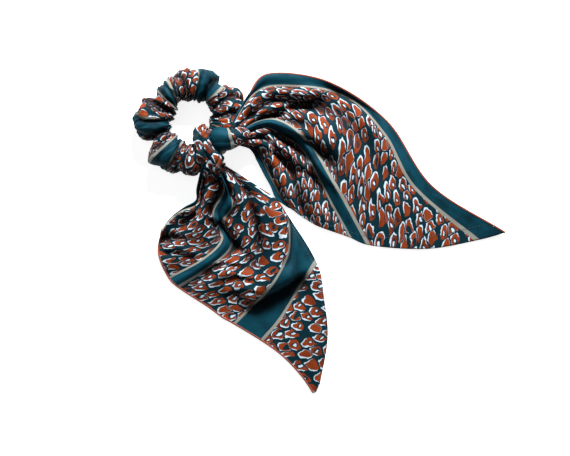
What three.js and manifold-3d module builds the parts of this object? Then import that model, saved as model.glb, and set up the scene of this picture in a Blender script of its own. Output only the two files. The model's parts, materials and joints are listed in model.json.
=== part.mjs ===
// A hair scrunchie with a scarf knotted round it, laid flat on a table.
//
// A gathered cloth tube is closed round a sewn elastic ring. A printed scarf is looped round the
// tube, knotted on top of it, and its two free ends lie fanned out on the table.
// Millimetres, +Z up. The pieces are laid out round the middle of the ring, with the table at z = 0,
// and the finished group is then moved so that its origin is the middle of its base.

import * as THREE from 'three';
import { mergeVertices } from 'three/addons/utils/BufferGeometryUtils.js';
import Module from 'manifold-3d';

// ---- Driving dimensions -------------------------------------------------------------------------

// The gathered ring
const RING_RADIUS = 34;         // middle of the ring to the middle of the cloth tube
const TUBE_RADIUS = 14.5;       // cloth tube, outside
const CASING_WALL = 1.6;        // gathered cloth, as thick as its folds pack
const PRESSED_FLAT = 2;         // how much the tube's underside is flattened by lying down
const PRESSED_WALL = 1.2;       // cloth there, squeezed between the ring and the table
const GATHERS = 15;             // soft folds round the ring
const GATHER_DEPTH = 0.6;       // rise and fall of a fold
const SEAM_GAP = 2.4;           // opening between the casing's two sewn edges
const SEAM_THREAD = 1;          // diameter of the thread that closes it

// The elastic inside
const ELASTIC_WIDTH = 6;
const ELASTIC_THICKNESS = 1;
const ELASTIC_OVERLAP = 22;     // degrees by which its two ends lie on each other
const JOIN_STITCH_WIDTH = 4;
const JOIN_STITCH_THICKNESS = 0.5;

// The scarf, where it is tied
const KNOT_ANGLE = -42;         // degrees round the ring from +X
const PINCH = 5.4;              // how far the loop draws the tube in
const PINCH_SPREAD = 14;        // degrees over which the tube fills out again on each side
const LOOP_WIDTH = 16;
const LOOP_WALL = 1;
const KNOT_RADIUS = 13;
const KNOT_HEIGHT = 14;
const KNOT_LIFT = 3;            // middle of the knot above the top of the loop

// The scarf's free ends
const CLOTH = 1;                // thickness of the doubled cloth
const DRAPE_SLOPE = 1;          // fall of the cloth from the ring to the table, rise over run
const DRAPE_BLEND = 3;          // softness of the change from falling to lying
const HEM_DIAMETER = 1.6;
const TOPSTITCH_DIAMETER = 0.8;
const TOPSTITCH_INSET = 0.97;   // share of the way from the far side to the cut edge

const CLEARANCE = 0.3;          // between pieces that touch
const NECK_CLEARANCE = 2.2;     // between the knot and the neck of a free end, which turns there

// ---- What follows from them ---------------------------------------------------------------------

const RAD = Math.PI / 180;
const TUBE_MIDDLE = TUBE_RADIUS - PRESSED_FLAT;
const RING_STEPS = 4 * GATHERS;
const PINCHED_INSIDE = RING_RADIUS - TUBE_RADIUS + PINCH;     // ring's inside radius under the loop
const PINCH_FLAT = Math.atan(LOOP_WIDTH / 2 / PINCHED_INSIDE) / RAD + 360 / RING_STEPS;
const LOOP_SAG = LOOP_WIDTH ** 2 / (8 * PINCHED_INSIDE);      // how far the ring curves within the loop
const LOOP_INNER = TUBE_RADIUS - PINCH + GATHER_DEPTH + LOOP_SAG + CLEARANCE;
const LOOP_OUTER = LOOP_INNER + LOOP_WALL;
const KNOT = new THREE.Vector3(RING_RADIUS, 0, TUBE_MIDDLE)
  .applyAxisAngle(new THREE.Vector3(0, 0, 1), KNOT_ANGLE * RAD);
const NECK_RADIUS = KNOT_RADIUS + NECK_CLEARANCE;

// The lie of the upper end, as lines along the cloth from the knot to its cut edge. Each gives the
// side of the knot it leaves from in degrees, then points in millimetres from the middle of the
// knot, with the height of the cloth above the table.
const UPPER_LINES = [
  [50, [35, 49, 3], [49, 66, 5], [103, 58, 6], [156, 22, 4], [197, -37, 3], [265, -80, 1]],
  [38, [42, 34, 7], [68, 40, 9], [108, 28, 5], [133, -2, 6], [154, -45, 4], [193, -95, 1]],
  [26, [42, 18, 9], [62, 14, 4], [81, 0, 10], [97, -25, 5], [110, -50, 4], [131, -88, 1]],
  [14, [38, 2, 4], [47, -8, 8], [56, -20, 4], [64, -35, 6], [71, -50, 3], [82, -68, 1]],
  [2, [29, -3, 1], [36, -14, 1], [42, -26, 1], [48, -37, 1], [53, -48, 1], [61, -54, 1]],
];

// The lie of the lower end, as lines across the cloth from its inner side to its rolled hem, from
// the knot to the tip. The first four leave from the knot, and null marks those that don't.
const LOWER_LINES = [
  [-135, [-19, -38, 9], [-23, -52, 8], [-33, -59, 6], [-44, -67, 4], [-51, -77, 1.5]],
  [-122, [-13, -39, 14], [-16, -59, 12], [-26, -76, 8], [-40, -89, 4], [-56, -98, 1.5]],
  [-108, [5, -44, 11], [0, -63, 5], [3, -86, 7], [-14, -110, 7], [-44, -125, 1.5]],
  [-88, [22, -40, 8], [24, -70, 9], [21, -96, 4], [4, -124, 8], [-20, -145, 1.5]],
  [null, [40, -47, 3], [46, -72, 11], [44, -100, 10], [28, -132, 7], [-2, -156, 1.5]],
  [null, [62, -61, 2], [64, -76, 9], [62, -98, 11], [46, -130, 7], [13, -163, 1.5]],
  [null, [91, -108, 1], [83, -120, 6], [74, -134, 3], [60, -157, 2], [41, -180, 1.5]],
  [null, [99, -146, 1], [91, -157, 4], [81, -172, 3], [70, -187, 2], [58, -198, 1.5]],
  [null, [94, -221, 1], [93, -223, 1], [92, -225, 1], [90, -227, 1], [88, -229, 1.5]],
];

// ---- Materials ----------------------------------------------------------------------------------

const material = (color, roughness) => new THREE.MeshStandardMaterial({ color, roughness, metalness: 0 });
const printedCloth = material(0x17475a, 0.55);
const knotCloth = material(0x12485c, 0.5);
const rustThread = material(0xa8451f, 0.7);
const tealThread = material(0x1d3f4c, 0.7);
const elastic = material(0xe9e6df, 0.85);

// ---- Helpers ------------------------------------------------------------------------------------

const smooth = (t) => t * t * (3 - 2 * t);

/** The greater of two heights, with a soft change from one to the other. */
function softMax(a, b, blend) {
  const lap = Math.max(blend - Math.abs(a - b), 0) / blend;
  return Math.max(a, b) + lap * lap * blend / 4;
}

/** Moves every vertex of a geometry by a function of its place. */
function reshape(geometry, move) {
  const position = geometry.attributes.position;
  const point = new THREE.Vector3();
  for (let i = 0; i < position.count; i += 1) {
    point.fromBufferAttribute(position, i);
    move(point);
    position.setXYZ(i, point.x, point.y, point.z);
  }
  geometry.computeVertexNormals();
  return geometry;
}

/** A closed mesh as a manifold solid. */
function toSolid(wasm, geometry) {
  const bare = geometry.clone();
  bare.deleteAttribute('normal');
  bare.deleteAttribute('uv');
  const merged = mergeVertices(bare, 1e-4);
  return new wasm.Manifold(new wasm.Mesh({
    numProp: 3,
    vertProperties: new Float32Array(merged.attributes.position.array),
    triVerts: new Uint32Array(merged.index.array),
  }));
}

/** A manifold solid as a geometry. */
function toGeometry(solid) {
  const { vertProperties, triVerts } = solid.getMesh();
  const geometry = new THREE.BufferGeometry();
  geometry.setAttribute('position', new THREE.BufferAttribute(vertProperties, 3));
  geometry.setIndex(new THREE.BufferAttribute(triVerts, 1));
  geometry.computeVertexNormals();
  return geometry;
}

function named(name, geometry, itsMaterial) {
  const mesh = new THREE.Mesh(geometry, itsMaterial);
  mesh.name = name;
  return mesh;
}

// ---- The gathered ring --------------------------------------------------------------------------

/** How much of its full size the tube has at an angle round the ring, in radians. */
function tubeFullness(angle) {
  const fromKnot = Math.abs(THREE.MathUtils.euclideanModulo(angle / RAD - KNOT_ANGLE + 180, 360) - 180);
  const slack = THREE.MathUtils.clamp((fromKnot - PINCH_FLAT) / PINCH_SPREAD, 0, 1);
  const folds = GATHER_DEPTH * Math.cos(GATHERS * angle);
  return 1 + (folds - PINCH * (1 - smooth(slack))) / TUBE_RADIUS;
}

/** A closed profile in the tube's cross-section, turned round the ring and gathered. */
function gatheredRing(profile, floorOf) {
  const points = profile.map(([out, up]) => new THREE.Vector2(RING_RADIUS + out, up));
  const ring = new THREE.LatheGeometry(points, RING_STEPS).rotateX(Math.PI / 2);
  return reshape(ring, (p) => {
    const angle = Math.atan2(p.y, p.x);
    const fullness = tubeFullness(angle);
    const out = Math.hypot(p.x, p.y) - RING_RADIUS;
    const radius = RING_RADIUS + out * fullness;
    const height = TUBE_MIDDLE + p.z * fullness;
    p.set(radius * Math.cos(angle), radius * Math.sin(angle), Math.max(height, floorOf(out, p.z)));
  });
}

/** The casing's cross-section: a wall that stops short of closing on the inside of the ring. */
function casingProfile() {
  const steps = 16;
  const wall = (radius) => {
    const edge = Math.asin(SEAM_GAP / 2 / radius);
    return Array.from({ length: steps + 1 }, (_, i) => {
      const turn = -Math.PI + edge + i * (2 * Math.PI - 2 * edge) / steps;
      return [radius * Math.cos(turn), radius * Math.sin(turn)];
    });
  };
  const outside = wall(TUBE_RADIUS);
  const inside = wall(TUBE_RADIUS - CASING_WALL).reverse();
  return [...outside, ...inside, outside[0]];
}

function ringCasing() {
  const isOutside = (out, up) => Math.hypot(out, up) > TUBE_RADIUS - CASING_WALL / 2;
  const floorOf = (out, up) => (isOutside(out, up) ? 0 : PRESSED_WALL);
  return named('ring_casing', gatheredRing(casingProfile(), floorOf), printedCloth);
}

function casingSeamThread() {
  const sides = 6;
  const profile = Array.from({ length: sides + 1 }, (_, i) => {
    const turn = i * 2 * Math.PI / sides;
    return [
      SEAM_THREAD / 2 * Math.cos(turn) - TUBE_RADIUS + CASING_WALL / 2,
      SEAM_THREAD / 2 * Math.sin(turn),
    ];
  });
  return named('casing_seam_thread', gatheredRing(profile, () => 0), tealThread);
}

// ---- The elastic --------------------------------------------------------------------------------

const ELASTIC_TURN = (360 + ELASTIC_OVERLAP) * RAD;
const ELASTIC_RISE = (ELASTIC_THICKNESS + CLEARANCE) / (2 * Math.PI);   // outwards, for each radian
const ELASTIC_START = 120 * RAD;

function elasticBand() {
  const steps = 64;
  const side = (offset) => Array.from({ length: steps + 1 }, (_, i) => {
    const turn = i * ELASTIC_TURN / steps;
    const radius = RING_RADIUS + offset + ELASTIC_RISE * turn;
    const angle = ELASTIC_START + turn;
    return new THREE.Vector2(radius * Math.cos(angle), radius * Math.sin(angle));
  });
  const outline = [...side(ELASTIC_THICKNESS), ...side(0).reverse()];
  const band = new THREE.ExtrudeGeometry(
    new THREE.Shape(outline),
    { depth: ELASTIC_WIDTH, bevelEnabled: false },
  );
  band.translate(0, 0, TUBE_MIDDLE - ELASTIC_WIDTH / 2);
  return named('elastic_band', band, elastic);
}

/** The bar of stitches across the elastic's overlapped ends. */
function elasticJoinStitch() {
  const middle = 2 * Math.PI + ELASTIC_OVERLAP * RAD / 2;
  const outer = RING_RADIUS + ELASTIC_THICKNESS + ELASTIC_RISE * ELASTIC_TURN + CLEARANCE;
  const bar = new THREE.BoxGeometry(JOIN_STITCH_THICKNESS, JOIN_STITCH_WIDTH, ELASTIC_WIDTH - 1);
  const mesh = named('elastic_join_stitch', bar, tealThread);
  mesh.position.set(outer + JOIN_STITCH_THICKNESS / 2, 0, TUBE_MIDDLE);
  const turned = new THREE.Group();
  turned.rotation.z = ELASTIC_START + middle;
  turned.add(mesh);
  return turned;
}

// ---- The loop and the knot ----------------------------------------------------------------------

/** A group whose Y axis runs along the tube where the scarf is tied, and whose origin is there. */
function atKnot(...meshes) {
  const place = new THREE.Group();
  place.position.copy(KNOT);
  place.rotation.z = KNOT_ANGLE * RAD;
  place.add(...meshes);
  return place;
}

function scarfLoop() {
  const half = LOOP_WIDTH / 2;
  const start = new THREE.Vector2(LOOP_INNER, -half);
  const profile = [
    start,
    new THREE.Vector2(LOOP_OUTER, -half),
    new THREE.Vector2(LOOP_OUTER, half),
    new THREE.Vector2(LOOP_INNER, half),
    start,
  ];
  return named('scarf_loop', new THREE.LatheGeometry(profile, 32), knotCloth);
}

/** A flattened ball of folded cloth that sits on the loop and is hollowed underneath to fit it. */
function scarfKnot(wasm) {
  const ball = new THREE.SphereGeometry(1, 24, 14).rotateX(Math.PI / 2);
  ball.scale(KNOT_RADIUS, KNOT_RADIUS, KNOT_HEIGHT / 2);
  ball.translate(0, 0, LOOP_OUTER + KNOT_LIFT);
  const seatRadius = LOOP_OUTER + CLEARANCE;
  const seat = new THREE.CylinderGeometry(seatRadius, seatRadius, 4 * KNOT_RADIUS, 32);
  const knot = toSolid(wasm, ball).subtract(toSolid(wasm, seat));
  return named('scarf_knot', toGeometry(knot), knotCloth);
}

// ---- The free ends ------------------------------------------------------------------------------

/** Height of cloth that falls from the top of the ring to the table, at a place on the table. */
function fallFromRing(x, y) {
  const out = Math.hypot(x, y) - RING_RADIUS;
  const radius = TUBE_RADIUS + GATHER_DEPTH + CLEARANCE + CLOTH;
  const leaves = radius * Math.sin(Math.atan(DRAPE_SLOPE));
  if (Math.abs(out) < leaves) return TUBE_MIDDLE + Math.sqrt(radius ** 2 - out ** 2);
  return TUBE_MIDDLE + Math.sqrt(radius ** 2 - leaves ** 2) - DRAPE_SLOPE * (Math.abs(out) - leaves);
}

/** A cloth surface through hand-laid lines: place(across, along), both from 0 to 1. */
function clothThrough(lines) {
  const curves = lines.map(([neck, ...points]) => {
    const laid = points.map(([x, y, z]) => new THREE.Vector3(KNOT.x + x, KNOT.y + y, z));
    if (neck !== null) {
      const startX = KNOT.x + NECK_RADIUS * Math.cos(neck * RAD);
      const startY = KNOT.y + NECK_RADIUS * Math.sin(neck * RAD);
      laid.unshift(new THREE.Vector3(startX, startY, 0));
    }
    return new THREE.CatmullRomCurve3(laid, false, 'catmullrom', 0.5);
  });
  return (across, along) => {
    const row = curves.map((curve) => curve.getPoint(along));
    const place = new THREE.CatmullRomCurve3(row, false, 'catmullrom', 0.5).getPoint(across);
    const lying = Math.max(place.z, CLOTH / 2 + CLEARANCE);
    place.z = softMax(lying, fallFromRing(place.x, place.y), DRAPE_BLEND);
    return place;
  };
}

/** The surface's two directions and its normal, which looks up when the cloth lies face up. */
function clothFrame(place, across, along) {
  const step = 1e-3;
  const low = (t) => Math.max(t - step, 0);
  const high = (t) => Math.min(t + step, 1);
  const over = place(high(across), along).sub(place(low(across), along)).normalize();
  const down = place(across, high(along)).sub(place(across, low(along))).normalize();
  return { point: place(across, along), over, down, normal: down.clone().cross(over).normalize() };
}

/** The cloth itself, as a thin closed solid. */
function clothSheet(name, place, stepsAcross, stepsAlong) {
  const block = new THREE.BoxGeometry(1, 1, 1, stepsAlong, stepsAcross, 1);
  const sheet = reshape(block, (p) => {
    const { point, normal } = clothFrame(place, p.y + 0.5, p.x + 0.5);
    p.copy(point.addScaledVector(normal, p.z * CLOTH));
  });
  return named(name, sheet, printedCloth);
}

/** A round thread along a route, which gives a middle and two directions across the thread. */
function threadAlong(name, route, diameter, steps, itsMaterial) {
  const rod = new THREE.CylinderGeometry(diameter / 2, diameter / 2, 1, 6, steps);
  const thread = reshape(rod, (p) => {
    const { middle, side, run } = route(p.y + 0.5);
    const third = side.clone().cross(run);
    p.copy(middle.addScaledVector(side, p.x).addScaledVector(third, p.z));
  });
  return named(name, thread, itsMaterial);
}

/** The part of one direction that is square to another. */
function squareTo(direction, run) {
  return direction.clone().addScaledVector(run, -direction.dot(run)).normalize();
}

const HEM_OFFSET = HEM_DIAMETER / 2 + CLEARANCE;
const TOPSTITCH_LIFT = CLOTH / 2 + CLEARANCE + TOPSTITCH_DIAMETER / 2;
const upwards = (normal) => normal.clone().multiplyScalar(Math.sign(normal.z));

/** The upper end: rolled hem along its long outer side, topstitched across its cut edge. */
function upperTail() {
  const place = clothThrough(UPPER_LINES);
  const across = 14;
  const along = 26;
  const hem = (t) => {
    const { point, over, down } = clothFrame(place, 0, t);
    const side = squareTo(over, down);
    return { middle: point.addScaledVector(side, -HEM_OFFSET), side, run: down };
  };
  const stitch = (t) => {
    const { point, over, normal } = clothFrame(place, t, TOPSTITCH_INSET);
    return { middle: point.addScaledVector(upwards(normal), TOPSTITCH_LIFT), side: normal, run: over };
  };
  return [
    clothSheet('upper_tail', place, across, along),
    threadAlong('upper_tail_hem', hem, HEM_DIAMETER, along, rustThread),
    threadAlong('upper_tail_topstitch', stitch, TOPSTITCH_DIAMETER, across, tealThread),
  ];
}

/** The lower end: rolled hem from its outer fold to the tip, topstitched down its inner side. */
function lowerTail() {
  const place = clothThrough(LOWER_LINES);
  const across = 24;
  const along = 12;
  const leavesKnot = LOWER_LINES.filter(([neck]) => neck !== null).length;
  const stitchStart = leavesKnot / (LOWER_LINES.length - 1);
  const hem = (t) => {
    const { point, over, down } = clothFrame(place, t, 1);
    const side = squareTo(down, over);
    return { middle: point.addScaledVector(side, HEM_OFFSET), side, run: over };
  };
  const stitch = (t) => {
    const downCloth = stitchStart + t * (1 - stitchStart);
    const { point, over, normal } = clothFrame(place, downCloth, 1 - TOPSTITCH_INSET);
    return { middle: point.addScaledVector(upwards(normal), TOPSTITCH_LIFT), side: normal, run: over };
  };
  return [
    clothSheet('lower_tail', place, across, along),
    threadAlong('lower_tail_hem', hem, HEM_DIAMETER, across, rustThread),
    threadAlong('lower_tail_topstitch', stitch, TOPSTITCH_DIAMETER, across / 2, tealThread),
  ];
}

// ---- Assembly -----------------------------------------------------------------------------------

const wasm = await Module();
wasm.setup();

const scrunchie = new THREE.Group();
scrunchie.add(
  ringCasing(),
  casingSeamThread(),
  elasticBand(),
  elasticJoinStitch(),
  atKnot(scarfLoop(), scarfKnot(wasm)),
  ...upperTail(),
  ...lowerTail(),
);

const box = new THREE.Box3().setFromObject(scrunchie, true);
const middle = box.getCenter(new THREE.Vector3());
scrunchie.position.set(-middle.x, -middle.y, -box.min.z);

const group = new THREE.Group();
group.add(scrunchie);
export default group;
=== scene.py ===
"""A scarf scrunchie: a gathered ring with a printed scarf knotted round it, laid flat.

Lengths in the tables below are millimetres, as a maker would measure them; meshes are metres.
The scarf's two free ends are laid out from the middle of the knot, seen from above.
"""

import json
import logging
import math
from dataclasses import dataclass, field
from enum import Enum
from typing import Optional, Union

import bmesh
import bpy
import numpy as np
from mathutils import Matrix, Vector, noise


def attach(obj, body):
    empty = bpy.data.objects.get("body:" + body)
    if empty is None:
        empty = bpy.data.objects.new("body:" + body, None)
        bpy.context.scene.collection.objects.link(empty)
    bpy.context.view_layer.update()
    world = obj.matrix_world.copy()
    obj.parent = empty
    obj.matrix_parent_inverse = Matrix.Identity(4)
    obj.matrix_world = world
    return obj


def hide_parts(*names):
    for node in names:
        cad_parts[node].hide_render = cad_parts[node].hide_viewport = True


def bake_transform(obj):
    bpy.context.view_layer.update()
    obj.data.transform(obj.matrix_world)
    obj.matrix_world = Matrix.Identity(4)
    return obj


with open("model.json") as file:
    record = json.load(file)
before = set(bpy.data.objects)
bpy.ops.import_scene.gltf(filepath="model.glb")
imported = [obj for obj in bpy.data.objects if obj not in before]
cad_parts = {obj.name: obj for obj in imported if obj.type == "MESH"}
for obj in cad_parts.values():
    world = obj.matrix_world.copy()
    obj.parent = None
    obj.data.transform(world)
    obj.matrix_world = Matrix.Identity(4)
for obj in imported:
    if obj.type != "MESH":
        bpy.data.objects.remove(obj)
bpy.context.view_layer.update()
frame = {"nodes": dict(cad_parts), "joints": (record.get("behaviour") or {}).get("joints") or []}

LOG = logging.getLogger("scrunchie")
MM = 0.001
WELD = 0.00002
CLOTH_MAP = "cloth"
# Name of the point attribute that holds painted shade for folds, creases and wrinkles.
PAINTED_SHADE = "painted_shade"
Array = np.ndarray
Number = Union[float, "Value"]


# ---- Shader maths ----------------------------------------------------------------------------


class Value:
    """A shader socket that carries one number, and can be used in Python expressions."""

    def __init__(self, graph: "Graph", socket: bpy.types.NodeSocket) -> None:
        """Wraps a socket.

        Args:
            graph: The material's node graph.
            socket: The output socket that carries the number.
        """
        self.graph = graph
        self.socket = socket

    def _math(self, operation: str, *others: Number) -> "Value":
        """Adds a Math node to this value and others."""
        return self.graph.math(operation, self, *others)

    def __add__(self, other: Number) -> "Value":
        """self + other."""
        return self._math("ADD", other)

    __radd__ = __add__

    def __sub__(self, other: Number) -> "Value":
        """self - other."""
        return self._math("SUBTRACT", other)

    def __rsub__(self, other: Number) -> "Value":
        """other - self."""
        return self.graph.math("SUBTRACT", other, self)

    def __mul__(self, other: Number) -> "Value":
        """self * other."""
        return self._math("MULTIPLY", other)

    __rmul__ = __mul__

    def __truediv__(self, other: Number) -> "Value":
        """self / other."""
        return self._math("DIVIDE", other)

    def __mod__(self, other: Number) -> "Value":
        """self modulo other, never negative."""
        return self._math("FLOORED_MODULO", other)

    def __abs__(self) -> "Value":
        """Size without sign."""
        return self._math("ABSOLUTE")

    def at_least(self, other: Number) -> "Value":
        """The greater of the two."""
        return self._math("MAXIMUM", other)

    def root(self) -> "Value":
        """Square root."""
        return self._math("SQRT")

    def sine(self) -> "Value":
        """Sine, in radians."""
        return self._math("SINE")

    def fade(self, low: float, high: float) -> "Value":
        """A soft step: 0 at low and 1 at high, and the other way where low is the greater."""
        return self.graph.node(
            "ShaderNodeMapRange",
            {"interpolation_type": "SMOOTHSTEP"},
            {"Value": self, "From Min": low, "From Max": high},
        )

    def within(self, limit: float, edge: float) -> "Value":
        """1 below a limit and 0 above it, with a soft change that reaches edge to each side."""
        return self.fade(limit + edge, limit - edge)


class Graph:
    """A material's nodes."""

    def __init__(self, name: str) -> None:
        """Makes an empty material.

        Args:
            name: The material's name.
        """
        self.material = bpy.data.materials.new(name)
        self.material.use_nodes = True
        self.tree = self.material.node_tree
        self.tree.nodes.clear()

    def _join(self, socket: bpy.types.NodeSocket, value: object) -> None:
        """Links a value to a socket, or sets the socket's own number or colour."""
        if isinstance(value, Value):
            self.tree.links.new(value.socket, socket)
        elif isinstance(value, bpy.types.NodeSocket):
            self.tree.links.new(value, socket)
        else:
            socket.default_value = value

    def add(self, kind: str, settings: dict, inputs: dict) -> bpy.types.Node:
        """Adds any node.

        Args:
            kind: The node's type.
            settings: Its properties, which are set first.
            inputs: Values or links by socket name or number.

        Returns:
            The node.
        """
        made = self.tree.nodes.new(kind)
        for key, setting in settings.items():
            setattr(made, key, setting)
        for key, value in inputs.items():
            self._join(made.inputs[key], value)
        return made

    def node(self, kind: str, settings: dict, inputs: dict, output: Union[int, str] = 0) -> Value:
        """Adds any node and gives one of its outputs.

        Args:
            kind: The node's type.
            settings: Its properties, which are set first.
            inputs: Values or links by socket name or number.
            output: The name or number of the output wanted.

        Returns:
            The output as a value.
        """
        return Value(self, self.add(kind, settings, inputs).outputs[output])

    def math(self, operation: str, *values: Number) -> Value:
        """Adds a Math node."""
        return self.node("ShaderNodeMath", {"operation": operation}, dict(enumerate(values)))

    def vector(self, operation: str, *values: object) -> Value:
        """Adds a Vector Math node."""
        return self.node("ShaderNodeVectorMath", {"operation": operation}, dict(enumerate(values)))

    def blend(self, share: Number, first: object, second: object) -> Value:
        """Mixes two colours: the first at share 0, the second at 1."""
        return self.node(
            "ShaderNodeMix", {"data_type": "RGBA"}, {0: share, 6: first, 7: second}, 2
        )

    def noise(self, place: object, scale: float, detail: float, output: int = 0) -> Value:
        """Adds smooth noise.

        Args:
            place: The place where it is read.
            scale: How fine it is.
            detail: How many finer layers it has.
            output: 0 for one number, or 1 for three.

        Returns:
            The noise, from 0 to 1.
        """
        inputs = {"Vector": place, "Scale": scale, "Detail": detail}
        return self.node("ShaderNodeTexNoise", {}, inputs, output)

    def bump(self, strength: float, distance: float, height: Value) -> Value:
        """Adds a Bump node, whose distance is in metres."""
        inputs = {"Strength": strength, "Distance": distance, "Height": height}
        return self.node("ShaderNodeBump", {}, inputs)

    def part(self, vector: object, axis: int) -> Value:
        """One part of a vector: 0 for X, 1 for Y or 2 for Z."""
        return self.node("ShaderNodeSeparateXYZ", {}, {0: vector}, axis)

    def flat_place(self) -> Value:
        """The place on the flat cloth that the UV map holds, in millimetres."""
        uv = self.add("ShaderNodeUVMap", {"uv_map": CLOTH_MAP}, {}).outputs[0]
        return self.vector("MULTIPLY", uv, (1 / MM, 1 / MM, 0.0))

    def surface(self, settings: dict) -> bpy.types.Material:
        """Ends the graph in a Principled surface.

        Args:
            settings: Its sockets' values or links.

        Returns:
            The finished material.
        """
        shader = self.node("ShaderNodeBsdfPrincipled", {}, settings)
        self.add("ShaderNodeOutputMaterial", {}, {"Surface": shader})
        return self.material


Colour = tuple[float, float, float, float]


def ink(code: str) -> Colour:
    """A colour as linear light.

    Args:
        code: The colour as six hexadecimal digits.

    Returns:
        Its red, green and blue, and an alpha of 1.
    """
    parts = [int(code[i : i + 2], 16) / 255 for i in (0, 2, 4)]
    linear = [p / 12.92 if p <= 0.04045 else ((p + 0.055) / 1.055) ** 2.4 for p in parts]
    return (linear[0], linear[1], linear[2], 1.0)


THREAD_TEAL = ink("1d4a5a")
THREAD_SHADE = ink("0c2a36")
RUST_SILK = ink("9c3d17")
RUST_SHADE = ink("4c1c0c")
HEM_WRAP = 1.6


class Ground(Enum):
    """Which finish a piece wears."""

    PRINT = "scarf_print"
    RUST = "rust_overlock"
    THREAD = "seam_thread"
    ELASTIC = "elastic"


Finishes = dict[Ground, bpy.types.Material]


@dataclass(frozen=True)
class ScarfPrint:
    """Satin cloth printed with leopard spots between teal stripes.

    The piece's own UV map holds the flat cloth's place in metres: u across the stripes, v along.
    Stripes and threads are measured in millimetres. Spots are measured in cells, one to a cell.
    Every chance is a number from 0 to 1 that a cell draws for itself.

    Attributes:
        teal: The stripes' colour.
        deep_teal: Their colour where the dye is darker.
        dusk: Colour between the spots, and of their dark middles.
        fold_shade_and_weave_gap: Colour of painted shade in deep folds, and of weave gaps.
        rust: The spots' colour.
        dark_rust: Their colour where the dye is darker.
        pale: Colour of the caps and the slits.
        line: Colour of the lines along the stripes.
        repeat: From the middle of one wide stripe to the next.
        wide_band: Half the width of a wide stripe's teal.
        narrow_band: Half the width of a narrow stripe's teal.
        line_width: Width of the line along each side of a stripe.
        stripe_edge: How far a stripe's edge is soft, to each side.
        spot_pitch: A cell's width and length in millimetres.
        spot_slant: How far the rows of cells are turned, in degrees.
        spot_stray: How far the cells stray from even rows, from 0 to 1.
        spot_reach: Radius of the smallest spots, and what chance adds to it.
        large_chance: Chances between which a spot turns large.
        large_growth: What being large adds to a spot's radius.
        spot_edge: How far a spot's edge is soft, to each side.
        spot_shift: How far a spot is moved in its cell.
        cap_shift: How far its pale cap is moved.
        spot_gap: Distances from the next cell between which a spot starts.
        cap_gap: The same for its cap.
        drop: How blunt a spot is, how fast it tapers to the cap, and how short it is.
        middle_lean: How far a spot's middle leans.
        middle_drop: How far it lies from the cap.
        middle_size: Size of a spot's middle, and what being large adds to it.
        dark_tight: How narrow and how short the dark middle is.
        dark_chance: Chances between which a spot gets a dark middle.
        slit_tight: How narrow and how short the pale slit in it is.
        slit_shift: How far the slit is moved in the dark middle.
        slit_chance: Chances between which the dark middle opens in a slit.
        oval_edges: How far the edges of a dark middle and of a slit are soft, to each side.
        thread: From one thread of the weave to the next.
        uneven: Size of the printing's small waves, and how far they push the spots.
        painted_shade_strength: How dark the painted shade in a deep fold is, from 0 to 1.
    """

    teal: Colour = ink("053b4a")
    deep_teal: Colour = ink("032b37")
    dusk: Colour = ink("02262f")
    # Painted shade colour for deep folds, also used for the gaps in the weave.
    fold_shade_and_weave_gap: Colour = ink("02070c")
    rust: Colour = ink("823615")
    dark_rust: Colour = ink("5e240e")
    pale: Colour = ink("bfd4e2")
    line: Colour = ink("85867e")
    repeat: float = 144.0
    wide_band: float = 14.5
    narrow_band: float = 6.5
    line_width: float = 2.8
    stripe_edge: float = 0.25
    spot_pitch: tuple[float, float] = (8.7, 10.2)
    spot_slant: float = 30.0
    spot_stray: float = 0.55
    spot_reach: tuple[float, float] = (0.375, 0.08)
    large_chance: tuple[float, float] = (0.55, 0.62)
    large_growth: float = 0.1
    spot_edge: float = 0.022
    spot_shift: tuple[float, float] = (0.02, -0.05)
    cap_shift: tuple[float, float] = (-0.005, 0.19)
    spot_gap: tuple[float, float] = (0.06, 0.09)
    cap_gap: tuple[float, float] = (0.05, 0.075)
    drop: tuple[float, float, float] = (1.3, 1.2, 0.8)
    middle_lean: float = 0.25
    middle_drop: float = 0.17
    middle_size: tuple[float, float] = (0.86, 0.5)
    dark_tight: tuple[float, float] = (46.0, 12.0)
    dark_chance: tuple[float, float] = (0.2, 0.26)
    slit_tight: tuple[float, float] = (170.0, 40.0)
    slit_shift: tuple[float, float] = (-0.025, 0.02)
    slit_chance: tuple[float, float] = (0.36, 0.42)
    oval_edges: tuple[float, float] = (0.06, 0.1)
    thread: float = 0.55
    uneven: tuple[float, float] = (0.15, 5.5)
    painted_shade_strength: float = 0.86

    def _from_drop(self, aside: Value, along: Value) -> Value:
        """How far a place is from the middle of a drop that is pointed towards the cap.

        Args:
            aside: The place's distance across the spot, in cells.
            along: Its distance along the spot.

        Returns:
            The distance in cells, as the drop's shape measures it.
        """
        blunt, taper, short = self.drop
        across = aside * (blunt - along * taper)
        return (across * across + along * along * short).root()

    @staticmethod
    def _from_oval(aside: Value, along: Value, tight: tuple[float, float]) -> Value:
        """How far a place is from the middle of an oval, whose own edge is at 1."""
        return (aside * aside * tight[0] + along * along * tight[1]).root()

    def _cells(self, g: Graph, place: Value) -> tuple[bpy.types.Node, Value, Value]:
        """Lays out one cell for each spot.

        Args:
            g: The material's graph.
            place: The place on the cloth, in millimetres.

        Returns:
            The node that draws each cell's chances, the place in its cell, and how far the place
            is from the next cell.
        """
        turn = {"Vector": place, "Angle": math.radians(self.spot_slant)}
        slanted = g.node("ShaderNodeVectorRotate", {"rotation_type": "Z_AXIS"}, turn)
        cells = g.vector("DIVIDE", slanted, (*self.spot_pitch, 1.0))
        spread = {"Vector": cells, "Scale": 1.0, "Randomness": self.spot_stray}
        nearest, edges = (
            g.add("ShaderNodeTexVoronoi", {"voronoi_dimensions": "2D", "feature": feature}, spread)
            for feature in ("F1", "DISTANCE_TO_EDGE")
        )
        in_cell = g.vector("SUBTRACT", cells, nearest.outputs["Position"])
        return nearest, in_cell, Value(g, edges.outputs["Distance"])

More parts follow.
